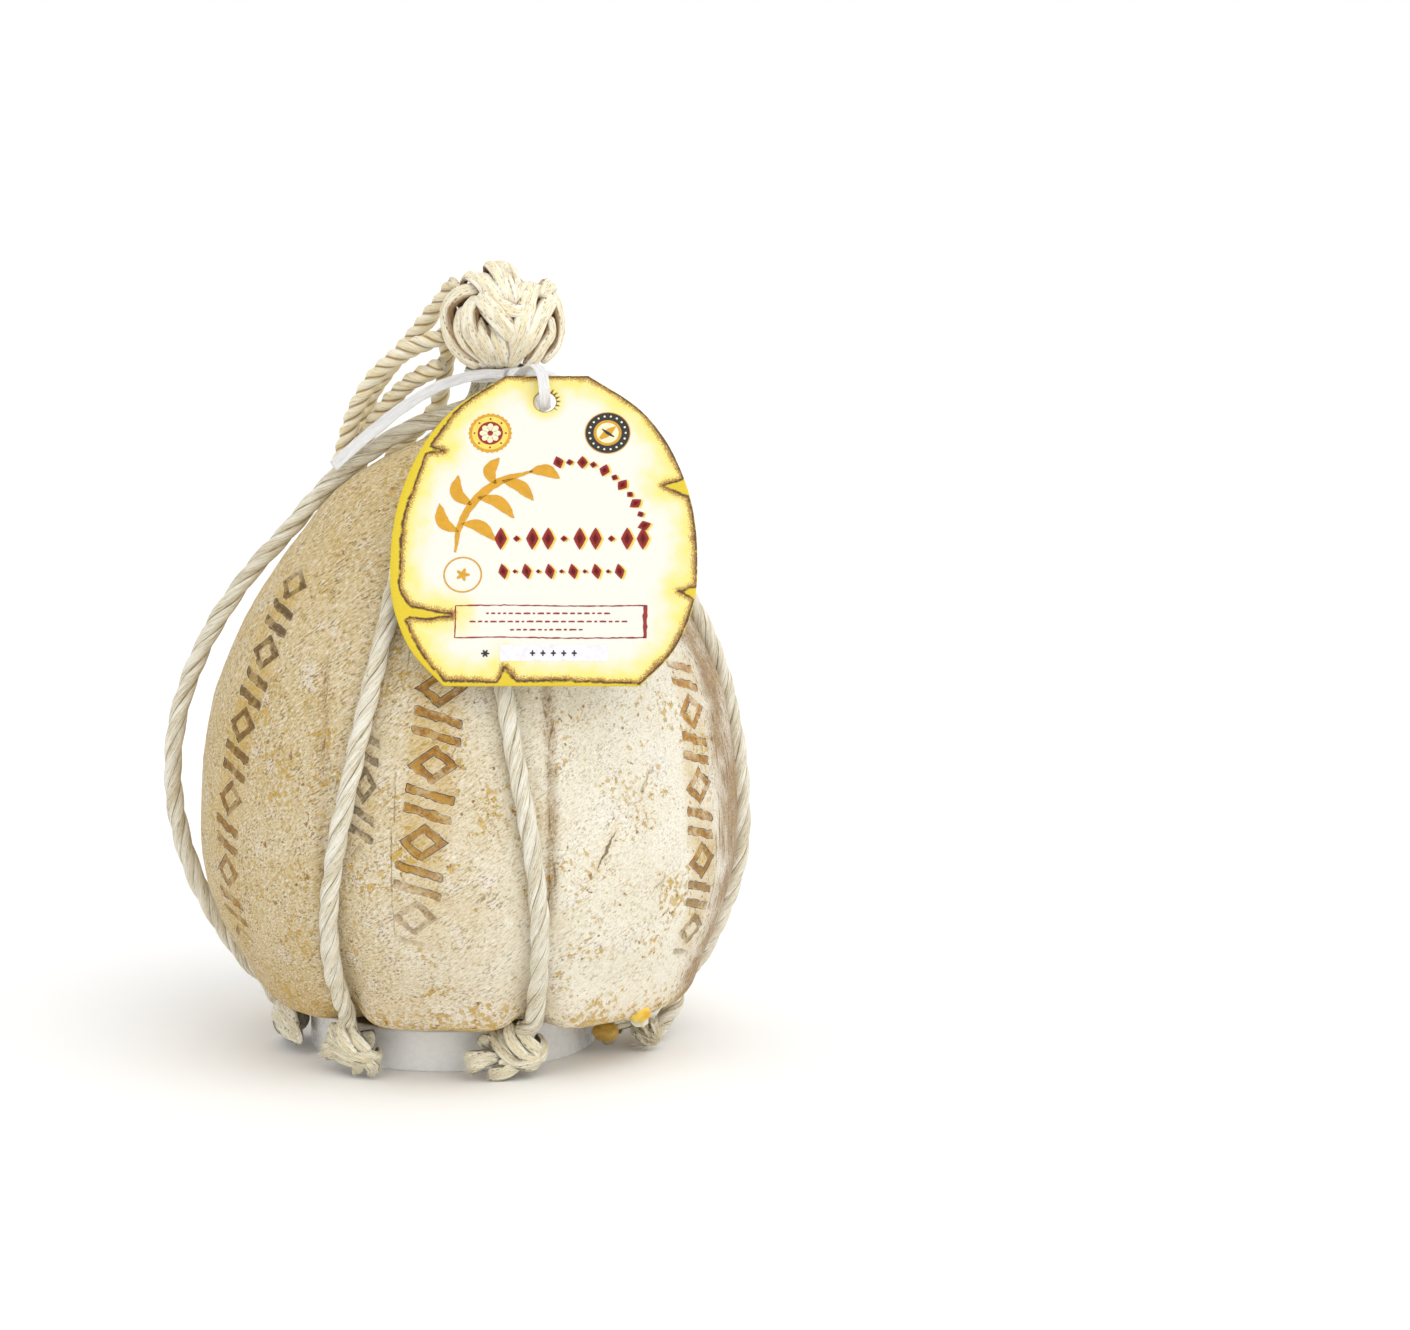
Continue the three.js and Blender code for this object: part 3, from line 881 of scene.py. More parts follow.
# ---------------------------------------------------------------- view, light and floor
@dataclass
class Studio:
    """Camera, soft light and pale floor."""

    eye: Point = (81.147, -1188.322, 292.795)
    aim: Point = (81.147, 0.0, 125.788)
    lens: float = 92.83
    sensor: float = 36.0
    ambient: float = 0.94
    key_from: Point = (0.52, -0.58, 0.80)
    key_strength: float = 0.98
    key_spread: float = 60.0
    key_colour: tuple[float, float, float] = (1.0, 0.995, 0.98)
    floor_size: float = 60000

    def build(self) -> None:
        """Sets up the whole studio."""
        scene = bpy.context.scene
        scene.view_settings.view_transform = "Standard"
        scene.view_settings.look = "None"
        self.camera(scene)
        self.surround(scene)
        self.key()
        self.floor()

    def surround(self, scene: bpy.types.Scene) -> None:
        """Makes the even light from all round, behind which the backdrop is plain white.

        Args:
            scene: Scene that it lights.
        """
        world = bpy.data.worlds.new("studio")
        world.use_nodes = True
        tree = world.node_tree
        glow = tree.nodes["Background"]
        backdrop = tree.nodes.new("ShaderNodeBackground")
        for node, strength in ((glow, self.ambient), (backdrop, 1.0)):
            node.inputs["Color"].default_value = (1, 1, 1, 1)
            node.inputs["Strength"].default_value = strength
        direct = tree.nodes.new("ShaderNodeLightPath").outputs["Is Camera Ray"]
        choice = tree.nodes.new("ShaderNodeMixShader")
        tree.links.new(direct, choice.inputs[0])
        tree.links.new(glow.outputs[0], choice.inputs[1])
        tree.links.new(backdrop.outputs[0], choice.inputs[2])
        tree.links.new(choice.outputs[0], tree.nodes["World Output"].inputs[0])
        scene.world = world

    def camera(self, scene: bpy.types.Scene) -> None:
        """Makes the camera.

        Args:
            scene: Scene that looks through it.
        """
        data = bpy.data.cameras.new("camera")
        data.sensor_fit = "HORIZONTAL"
        data.sensor_width = self.sensor
        data.lens = self.lens
        data.clip_end = 20
        made = bpy.data.objects.new("camera", data)
        made.location = Vector(self.eye) * MM
        made.rotation_euler = (Vector(self.aim) - Vector(self.eye)).to_track_quat("-Z", "Y").to_euler()
        scene.collection.objects.link(made)
        scene.camera = made

    def key(self) -> None:
        """Makes the main light: soft, parallel, from the right of the camera and above."""
        data = bpy.data.lights.new("key", "SUN")
        data.energy = self.key_strength
        data.angle = math.radians(self.key_spread)
        data.color = self.key_colour
        made = bpy.data.objects.new("key", data)
        made.rotation_euler = (-Vector(self.key_from)).to_track_quat("-Z", "Y").to_euler()
        bpy.context.scene.collection.objects.link(made)

    def floor(self) -> None:
        """Makes the floor: one flat square."""
        half = self.floor_size / 2 * MM
        corners = [(-half, -half, 0), (half, -half, 0), (half, half, 0), (-half, half, 0)]
        mesh = bpy.data.meshes.new("floor")
        mesh.from_pydata(corners, [], [(0, 1, 2, 3)])
        mesh.materials.append(Floor().material())
        made = bpy.data.objects.new("floor", mesh)
        bpy.context.scene.collection.objects.link(made)


# ---------------------------------------------------------------- the cheese's shape
def rope_bearing(route: Route, s: Array) -> Array:
    """Bearing of a rope in radians at surface parameter s, 0 at the front, growing to the right."""
    return np.radians(along(route.azimuths, (ROUTE_TOP - s) / (ROUTE_TOP - ROUTE_LOW)))


def turned(angle: Array) -> Array:
    """Angles in radians brought to between -pi and pi."""
    return np.arctan2(np.sin(angle), np.cos(angle))


def skin(s: Array, azimuth: Array, off: Array = 0.0) -> Array:
    """Point of the cheese's skin: its outline turned about the axis, pressed in at each rope.

    Args:
        s: Surface parameter from 0 to 1.
        azimuth: Bearings in radians.
        off: Distance outwards from the skin.

    Returns:
        Points.
    """
    h = 0.002
    r, z = along(OUTLINE_R, s), along(OUTLINE_Z, s)
    dr = along(OUTLINE_R, np.minimum(s + h, 1)) - along(OUTLINE_R, np.maximum(s - h, 0))
    dz = along(OUTLINE_Z, np.minimum(s + h, 1)) - along(OUTLINE_Z, np.maximum(s - h, 0))
    size = np.hypot(dr, dz)
    deep = GROOVE_MID + GROOVE_LOW * hill(s - GROOVE_LOW_AT, GROOVE_LOW_REACH)
    deep = deep * smooth(0.1, 0.2, s) * (1 - smooth(0.93, 0.99, s))
    facing = np.maximum(0, np.cos(azimuth - math.radians(BULGE_BEARING)))
    out = off + BULGE * hill(s - BULGE_AT, BULGE_REACH) * facing**2
    for route in ROUTES:
        out = out - deep * hill(turned(azimuth - rope_bearing(route, s)) * np.maximum(r, 12), GROOVE_W)
    reach = r + out * dz / size
    return np.stack([CHEESE_X + reach * np.sin(azimuth), -reach * np.cos(azimuth),
                     z - out * dr / size + 0 * azimuth], -1)


def outline_steps(count: int) -> tuple[Array, Array]:
    """Even surface parameters from 0 to 1, and the lengths of the outline between them."""
    fine = np.linspace(0, 1, count)
    return fine, np.hypot(np.diff(along(OUTLINE_R, fine)), np.diff(along(OUTLINE_Z, fine)))


@dataclass(frozen=True)
class Trace:
    """Line down the cheese: surface parameters, bearings in degrees at them, half width in mm."""

    s: tuple[float, ...]
    azimuths: tuple[float, ...]
    half: float

    def across(self, s: Array, azimuth: Array) -> Array:
        """Distance to the right of the line along the skin, in millimetres."""
        middle = np.radians(np.interp(s, self.s, self.azimuths))
        return turned(azimuth - middle) * along(OUTLINE_R, s)

    def share(self, s: Array, ease: float = 0.03) -> Array:
        """How far the line is present: 1 between its ends, easing to 0 at them."""
        begun = smooth(self.s[0] - ease, self.s[0] + ease, s)
        return begun * (1 - smooth(self.s[-1] - ease, self.s[-1] + ease, s))


@dataclass
class Cheese:
    """The cheese itself, with its creases, pressed bands and cracks."""

    rows: int = 244
    front: int = 344
    back: int = 60
    front_reach: float = 104
    dent_depth: float = 0.7
    right_crease: Trace = Trace((0.48, 0.51, 0.68, 0.74), (19, 19.5, 20.7, 21), 1.5)
    left_crease: Trace = Trace((0.38, 0.50, 0.60, 0.66, 0.72), (-33.7, -27.3, -27.7, -29, -32.7), 1.5)
    bands: tuple[Trace, ...] = (
        Trace((0.44, 0.53, 0.60, 0.70, 0.785), (-59, -57.5, -56, -53.5, -56), 8),
        Trace((0.46, 0.485, 0.547, 0.618, 0.683, 0.80), (-8, -8, -6.3, -4, -2.7, -1), 8),
        Trace((0.55, 0.60, 0.655), (-19.5, -19, -19), 5),
        Trace((0.42, 0.48, 0.552, 0.616, 0.70), (62, 61, 60, 61, 63), 8),
        Trace((0.50, 0.60, 0.70), (-93, -93, -93), 7))
    band_strengths: tuple[tuple[float, float], ...] = ((0.75, 1), (0.35, 1), (0.6, 0.6), (0.7, 1), (1, 1))
    band_tones: tuple[tuple[float, float], ...] = (
        (0.35, 0.9), (0.3, 0.25), (1.1, 1.1), (0.6, 0.0), (1.0, 1.0))
    cracks: tuple[tuple[float, float, float, float], ...] = (
        (0.547, 32, 58, 17), (0.607, 43.5, 52, 13), (0.508, 46, 35, 9), (0.51, 6, 50, 7))

    def grid(self) -> tuple[Array, Array]:
        """Even rows along the outline and columns that are closer together at the front.

        Returns:
            Surface parameters and bearings on a grid.
        """
        fine, steps = outline_steps(4000)
        weight = steps * (0.25 + 0.75 * smooth(0.12, 0.24, fine[1:]))
        gone = np.concatenate([[0], np.cumsum(weight)])
        s = np.interp(np.linspace(0.004, 0.998, self.rows) * gone[-1], gone, fine)
        reach = self.front_reach
        near = np.linspace(-reach, reach, self.front, endpoint=False)
        far = np.linspace(reach, 360 - reach, self.back, endpoint=False)
        return np.meshgrid(s, np.radians(np.concatenate([near, far])), indexing="ij")

    def dents(self, band: Array) -> Array:
        """Depth of the pressed pattern: lozenges and pairs of bars with soft sides.

        Args:
            band: Places across and along the bands, and their strength.

        Returns:
            Depths in millimetres.
        """
        across, up, share = np.moveaxis(band, -1, 0)
        first, second = (np.mod(up + shift, REPEAT) - REPEAT / 2 for shift in (REPEAT / 2, REPEAT))
        spread = np.abs(across) / LOZENGE[0] + np.abs(first) / LOZENGE[1]
        lozenge = smooth(*LOZENGE_EDGE, np.abs(spread - LOZENGE_LINE))
        bars = smooth(*BAR_EDGE, np.abs(np.abs(second + BAR_SLANT * across) - BAR_SPACE / 2))
        bars = bars * smooth(*BAND_EDGE, np.abs(across))
        return self.dent_depth * share * np.maximum(lozenge, bars)

    def relief(self, s: Array, azimuth: Array, base: Array) -> Array:
        """Height over the plain skin: lumps at three sizes and two creases with raised lips.

        Args:
            s: Surface parameters.
            azimuth: Bearings in radians.
            base: Points of the plain skin.

        Returns:
            Heights in millimetres.
        """
        lumps = 0.75 * noise(base, 34, 1, 2) + 0.28 * noise(base, 8, 2, 2) + 0.12 * noise(base, 2.6, 3, 2)
        off = lumps * smooth(0.12, 0.22, s) * (1 - smooth(0.96, 1.0, s))
        for line, lip, deep, side in ((self.right_crease, 1.0, 1.4, 1), (self.left_crease, 0.5, 0.9, -1)):
            across = side * line.across(s, azimuth) + 0.8 * noise(base, 7, 8)
            off = off + line.share(s) * (lip * hill(across - 3.4, 3.0) - deep * hill(across, line.half))
        return off

    def marks(self, s: Array, azimuth: Array) -> dict[str, Array]:
        """Places in the pressed bands and in the cracks.

        Args:
            s: Surface parameters.
            azimuth: Bearings in radians.

        Returns:
            "band": across, along and strength; "tone": darkness; "crack": along, across, strength.
        """
        fine, steps = outline_steps(400)
        climbed = np.concatenate([[0], np.cumsum(steps)])
        up = np.interp(s, fine, climbed)
        band = np.zeros((*s.shape, 3))
        tone = np.zeros_like(s)
        for k, (line, (low, high)) in enumerate(zip(self.bands, self.band_tones)):
            across = line.across(s, azimuth)
            faint, clear = self.band_strengths[k]
            share = line.share(s, 0.012) * (1 - smooth(line.half + 1.5, line.half + 4, np.abs(across)))
            start, end = line.s[0], line.s[-1]
            share = share * (faint + (clear - faint) * smooth(start, 0.6 * start + 0.4 * end, s))
            here = np.abs(across) < line.half + 6
            band[here] = np.stack([across * 8 / line.half, up + 7 * k, share], -1)[here]
            dark = low + (high - low) * smooth(start, end, s)
            tone[here] = dark[here]
        crack = np.zeros((*s.shape, 3))
        for at, bearing, lean, size in self.cracks:
            radius = float(along(OUTLINE_R, at))
            x = turned(azimuth - math.radians(bearing)) * radius
            y = up - float(np.interp(at, fine, climbed))
            turn = math.radians(lean)
            ahead, aside = x * math.cos(turn) + y * math.sin(turn), y * math.cos(turn) - x * math.sin(turn)
            here = np.hypot(ahead, aside) < size * 0.5 + 5
            crack[here] = np.stack([2 * ahead / size, aside, 0.45 + 0.55 * (size > 15) + 0 * ahead], -1)[here]
        return {"band": band, "tone": tone, "crack": crack}

    def build(self) -> None:
        """Makes the cheese."""
        s, azimuth = self.grid()
        base = skin(s, azimuth)
        marks = self.marks(s, azimuth)
        points = skin(s, azimuth, self.relief(s, azimuth, base) - self.dents(marks["band"]))
        # sandy tint towards the left and the top; on the left side it is partly painted shade
        tint_and_left_shade = 0.5 - 0.5 * np.sin(azimuth - 0.15) + 0.4 * smooth(0.72, 0.9, s) + 0.12 * noise(base, 22, 5, 2)
        tint_and_left_shade = tint_and_left_shade - 0.24 * (1 - smooth(0.25, 0.55, s)) * hill(azimuth, 0.7)
        # painted shade: a mottled brown one on the right limb, and one along each crease
        edge = smooth(1.05, 1.36, azimuth + 0.07 * noise(base, 9, 12, 2)) * (1 - smooth(1.4, 2.2, azimuth))
        crease = hill(self.right_crease.across(s, azimuth) - 0.5, 1.8) * self.right_crease.share(s)
        crease = crease + 0.7 * hill(self.left_crease.across(s, azimuth), 2.5) * self.left_crease.share(s)
        low = 1 - smooth(0.30, 0.44, s)
        shell = Shell.of_grid(points, {
            "tint_and_left_shade": tint_and_left_shade, "low": low, "shade": edge + 0.6 * crease, **marks})
        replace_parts(shell.piece("cheese_rind", Rind().material(), Slot.RIND), "cheese")


# ---------------------------------------------------------------- rope
@dataclass(frozen=True)
class Lay:
    """How a rope is laid up: strand size and place, length of a full turn, mesh density."""

    radius: float = ROPE_R
    strand: float = 0.565
    pitch: float = 35.0
    around: int = 48
    step: float = 0.8
    fibre: float = 0.1

    def skin(self, route: Sequence[Point], seed: int, facing: Point = FRONT,
             swell: Union[Callable[[Array], Array], None] = None) -> Shell:
        """Rope along a route: the outline of three round strands, turning as it goes.

        The outline's distance from the middle, at an angle d from the nearest strand's middle, is
        c cos d + sqrt(b^2 - c^2 sin^2 d), with strand radius b and strand offset c.

        Args:
            route: Points that the middle passes through.
            seed: Number that picks the random details.
            facing: Side direction at the start.
            swell: Factor on the radius for shares from 0 to 1 along the rope.

        Returns:
            The surface, with its untwisted place as "lay" and its depth between the strands, which the finish
            darkens as painted shade, as "groove".
        """
        line = curve(route, self.step)
        _, side, other = carried(line, facing)
        gone = np.linspace(0, length_of(line), len(line))[:, None]
        angle = round_turn(self.around)[None, :]
        path = np.stack([gone, 0 * gone, 0 * gone], -1)
        wander = noise(path, 25, seed)
        inner = angle - FULL * gone / self.pitch - 0.5 * wander
        third = FULL / 3
        apart = np.mod(inner + third / 2, third) - third / 2
        b, c = self.strand, 1 - self.strand
        rho = c * np.cos(apart) + np.sqrt(b**2 - (c * np.sin(apart)) ** 2)
        lowest = c / 2 + math.sqrt(b**2 - 0.75 * c**2)
        # depth between the strands, from 0 to 1, which the finish darkens as painted shade
        groove = (1 - rho) / (1 - lowest)
        lay = np.stack([rho * self.radius * np.cos(inner), rho * self.radius * np.sin(inner),
                        gone + 0 * angle], -1)
        fibres = noise(lay * np.array([1, 1, 0.08]), 0.55, seed + 1, 2)
        size = 1 + 0.04 * noise(path, 9, seed + 2)
        if swell is not None:
            size = size * swell(gone / gone[-1])
        reach = rho * self.radius * size + self.fibre * fibres - 0.04
        points = line[:, None] + reach[..., None] * (
            np.cos(angle)[..., None] * side[:, None] + np.sin(angle)[..., None] * other[:, None])
        return Shell.of_grid(points, {"lay": lay, "groove": groove})


@dataclass(frozen=True)
class Hairs:
    """Loose fibres that stand off a rope or fan out of its end."""

    length: tuple[float, float] = (1.2, 3.2)
    width: float = 0.05
    rings: int = 5
    stand: float = 2.1

    def shell(self, roots: Array, heading: Array, bend: Array, seed: int) -> Shell:
        """Thin three-sided hairs: root + heading t + bend t^2, narrowing to their tips.

        Args:
            roots: Where the hairs start.
            heading: Direction and length of each hair.
            bend: How far its tip is bent aside.
            seed: Number that picks the colour offsets.

        Returns:
            The surface.
        """
        count = len(roots)
        t = np.linspace(0, 1, self.rings)[None, :, None]
        line = roots[:, None] + heading[:, None] * t + bend[:, None] * t**2
        ahead = unit(heading)
        side = unit(np.cross(ahead, bend + np.array([0.01, 0.02, 0.03])))
        other = np.cross(ahead, side)
        angle = round_turn(3)
        thick = self.width * (1 - 0.75 * t)
        ring = (np.cos(angle)[:, None, None] * side + np.sin(angle)[:, None, None] * other)
        points = line[:, :, None] + thick[..., None] * ring.transpose(1, 0, 2)[:, None]
        index = np.arange(count * self.rings * 3).reshape(count, self.rings, 3)
        shift = scatter(np.arange(count)[:, None] * np.array([1, 7, 13]), seed)[:, None, None]
        lay = np.stack([shift * 40 + 0 * t + 0 * angle, 0 * t + 0 * angle + 0 * shift,
                        t * 2 + 0 * angle + 0 * shift], -1)
        flat = points.reshape(-1, 3)
        return Shell(flat, grid_faces(index), {
            "lay": np.broadcast_to(lay, (count, self.rings, 3, 3)).reshape(-1, 3),
            "groove": np.zeros((len(flat), 1))})

    def along(self, route: Sequence[Point], radius: float, every: float, seed: int) -> Shell:
        """Loose hairs all along a rope.

        Args:
            route: The rope's route.
            radius: The rope's radius.
            every: Millimetres of rope to a hair.
            seed: Number that picks where they are.

        Returns:
            The surface.
        """
        rng = np.random.default_rng(seed)
        line = curve(route, 0.8)
        tangent, side, other = carried(line, FRONT)
        count = int(length_of(line) / every)
        at = rng.integers(2, len(line) - 2, count)
        turn = rng.uniform(0, FULL, (count, 1))
        out = np.cos(turn) * side[at] + np.sin(turn) * other[at]
        size = rng.uniform(*self.length, (count, 1))
        way = unit(0.55 * out + rng.choice([-1, 1], (count, 1)) * tangent[at]
                   + 0.3 * rng.normal(size=(count, 3)))
        way = unit(way + out * np.maximum(0, 0.25 - np.sum(way * out, -1, keepdims=True)))
        bend = size * 0.35 * rng.normal(size=(count, 3))
        bend = bend + out * np.maximum(0, -np.sum(bend * out, -1, keepdims=True))
        roots = line[at] + out * radius * 0.9
        tips = roots + way * size + bend
        aside = tips - line[at]
        aside = aside - tangent[at] * np.sum(aside * tangent[at], -1, keepdims=True)
        kept = (np.linalg.norm(aside, axis=-1) < radius + self.stand) & (tips[:, 2] > 0.4)
        return self.shell(roots[kept], (way * size)[kept], bend[kept], seed)

    def tuft(self, at: Point, heading: Point, radius: float, count: int, seed: int,
             spread: float = 0.45) -> Shell:
        """Brush of fibres at a rope's cut end.

        Args:
            at: Middle of the end.
            heading: Direction that the rope points in.
            radius: Radius of the end.
            count: Number of fibres.
            seed: Number that picks where they are.
            spread: How much they fan out.

        Returns:
            The surface.
        """
        rng = np.random.default_rng(seed)
        way = unit(np.asarray(heading, float))
        side = unit(np.cross(way, [0.3, 0.2, 1.0]))
        other = np.cross(way, side)
        turn = rng.uniform(0, FULL, (count, 1))
        out = np.cos(turn) * side + np.sin(turn) * other
        off = radius * np.sqrt(rng.uniform(0, 1, (count, 1)))
        size = rng.uniform(*self.length, (count, 1))
        heads = unit(way + spread * off / radius * out + 0.2 * rng.normal(size=(count, 3)))
        roots = np.asarray(at, float) + out * off - way * 1.2
        bend = 0.25 * size * rng.normal(size=(count, 3))
        kept = (roots + heads * size + bend)[:, 2] > 0.4
        return self.shell(roots[kept], (heads * size)[kept], bend[kept], seed)


HARNESS_LAY = Lay(strand=0.68, pitch=35.0)
LOOP_LAY = Lay(strand=0.6, pitch=17.0, step=0.65, fibre=0.08)
FUZZ = Hairs()


def rope_line(route: Route) -> list[Point]:
    """Points that a harness rope passes through, from the neck to its knot at the ring.

    Args:
        route: The rope's way.

    Returns:
        The points.
    """
    turn = math.radians(route.neck)
    stem = [(NECK_X + radius * math.sin(turn), -radius * math.cos(turn), z) for z, radius in (
        (NECK_HIGH, NECK_R), ((NECK_LOW + NECK_HIGH) / 2, NECK_R), (NECK_LOW - 1.5, NECK_R + 2.5))]
    share = np.linspace(0, 1, 11)
    s = ROUTE_TOP + (ROUTE_LOW - ROUTE_TOP) * share
    down = skin(s, rope_bearing(route, s), ROPE_R + SEAT + along(route.slack, share))
    return [*stem, *map(tuple, down), *route.foot]


def tapered(share: Array) -> Array:
    """Factor on a rope's radius that rounds its lower end off inside the knot."""
    return np.sqrt(1.001 - smooth(0.985, 1, share))


def declare_cord(diameter: float) -> None:
    """Takes a cord's diameter in millimetres and does nothing with it."""
    diameter * MM


@dataclass
class Harness:
    """Six ropes down the cheese, and the two loops that it is hung up by."""

    rope: Rope = Rope("rope_harness")
    loop: Rope = Rope("rope_loops", light=(255, 252, 234), dull=(250, 234, 188), deep=(150, 106, 34),
                      coarse=1.3, crevice=0.45)

    def build(self) -> None:
        """Makes the loops, which are cords, and then the six ropes."""
        material = self.loop.material()
        for k, route in enumerate(HANGING_LOOPS):
            shell = Shell.joined([
                LOOP_LAY.skin(route, 40 + k), FUZZ.along(route, ROPE_R, 1.3, 50 + k)])
            name = f"hanging_loop_{k + 1}"
            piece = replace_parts(shell.piece(name + "_rope", material, Slot.ROPE), name)
            declare_cord(2 * ROPE_R)
        material = self.rope.material()
        for k, route in enumerate(ROUTES):
            line = rope_line(route)
            shell = Shell.joined([
                HARNESS_LAY.skin(line, 10 + k, swell=tapered), FUZZ.along(line, ROPE_R, 1.1, 20 + k)])
            name = f"harness_rope_{k + 1}"
            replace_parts(shell.piece(name + "_twist", material, Slot.ROPE), name)


# ---------------------------------------------------------------- knots
@dataclass(frozen=True)
class Band:
    """One strand of a knot: its route, half widths at even steps, and how round it is."""

    points: tuple[Point, ...]
    half: tuple[float, ...]
    round: float = 0.62
    frayed: bool = False

    def skin(self, centre: Point, seed: int, around: int = 34, step: float = 0.5) -> Shell:
        """Flat oval along the route, with lengthwise folds, facing away from the knot's middle.

        Args:
            centre: The knot's middle.
            seed: Number that picks the folds.
            around: Points round it.
            step: Distance between its rings.

        Returns:
            The surface.
        """
        line = curve(self.points, step)
        tangent = unit(np.gradient(line, axis=0))
        out = line - np.asarray(centre, float)
        out = unit(out - tangent * np.sum(out * tangent, -1, keepdims=True))
        aside = np.cross(tangent, out)
        size = length_of(line)
        gone = np.linspace(0, size, len(line))[:, None]
        half = along(self.half, gone / size)
        closing = np.sqrt(np.clip(np.minimum(gone, size - gone) / 1.3 + 0.04, 0, 1))
        half = half * closing
        angle = round_turn(around)[None, :]
        x, y = np.cos(angle), np.sin(angle)
        where = np.stack([x * half * 1.0, y * half * 0.8, gone * 0.10 + 0 * x], -1)
        fold = noise(where, 1.5, seed, 2)
        fibre = noise(where * np.array([1, 1, 0.9]), 0.45, seed + 3)
        twist = np.abs(np.cos(2.5 * angle - FULL * gone / 26 + seed)) ** 0.5
        swell = 0.86 + 0.2 * fold + 0.06 * fibre + 0.26 * twist
        thick = np.maximum(half * self.round, 0.25)
        points = swept(line, aside, out, x * half * swell, y * thick * swell)
        # painted shade: the band's sides, its fold and twist hollows, and the half that faces the knot's
        # middle
        crevice = np.clip(0.9 * np.abs(x) ** 5 + 0.45 * smooth(-0.3, -0.8, fold)
                          + 0.75 * smooth(0.5, 0.1, twist), 0, 1)
        crevice = np.maximum(crevice, smooth(0.15, -0.5, y))
        return Shell.of_grid(points, {"lay": np.stack([x * half * 1.4, y * half, gone + 0 * x], -1),
                                      "groove": crevice})

    def all(self, centre: Point, seed: int) -> list[Shell]:
        """The strand, and the brush of fibres at its end if it is frayed.

        Args:
            centre: The knot's middle.
            seed: Number that picks the details.

        Returns:
            The surfaces.
        """
        made = [self.skin(centre, seed)]
        if self.frayed:
            line = curve(self.points, 0.5)
            made.append(Hairs((1.2, 2.6), 0.11).tuft(
                line[-3], line[-1] - line[-4], self.half[-1] * 0.9, 110, seed, 0.3))
        return made


@dataclass(frozen=True)
class Knot:
    """A knot: CAD node that it stands for, its middle, its strands, and a core that fills it, painted dark as
    the shade between the strands.
    """

    node: str
    middle: Point
    bands: tuple[Band, ...]
    core: tuple[Point, Point]

    def shell(self, seed: int) -> Shell:
        """All its surfaces as one.

        Args:
            seed: Number that picks the details.

        Returns:
            The surface.
        """
        parts = [ball(*self.core, seed, 0.1, 30, 44)]
        for i, band in enumerate(self.bands):
            parts += band.all(self.middle, seed + 5 * i)
        return Shell.joined(parts)


def ball(middle: Point, half: Point, seed: int, rough: float, rows: int = 40, columns: int = 60) -> Shell:
    """Uneven ball: a sphere stretched on each axis, with noise added along its rays.

    Args:
        middle: Its middle.
        half: Its half sizes.
        seed: Number that picks the unevenness.
        rough: Height of the unevenness as a share of the size.
        rows: Rows of points.
        columns: Columns of points.

    Returns:
        The surface, with the same named values as rope.
    """
    v, u = np.meshgrid(np.linspace(0.02, math.pi - 0.02, rows), round_turn(columns), indexing="ij")
    ray = np.stack([np.sin(v) * np.cos(u), np.sin(v) * np.sin(u), -np.cos(v)], -1)
    grown = 1 + rough * noise(ray * 10, 5, seed, 3)
    points = np.asarray(middle) + ray * np.asarray(half) * grown[..., None]
    # the same painted shade all over, which darkens the knots' cores and the string's bead
    return Shell.of_grid(points, {"lay": points, "groove": np.full(u.shape, 0.7)})


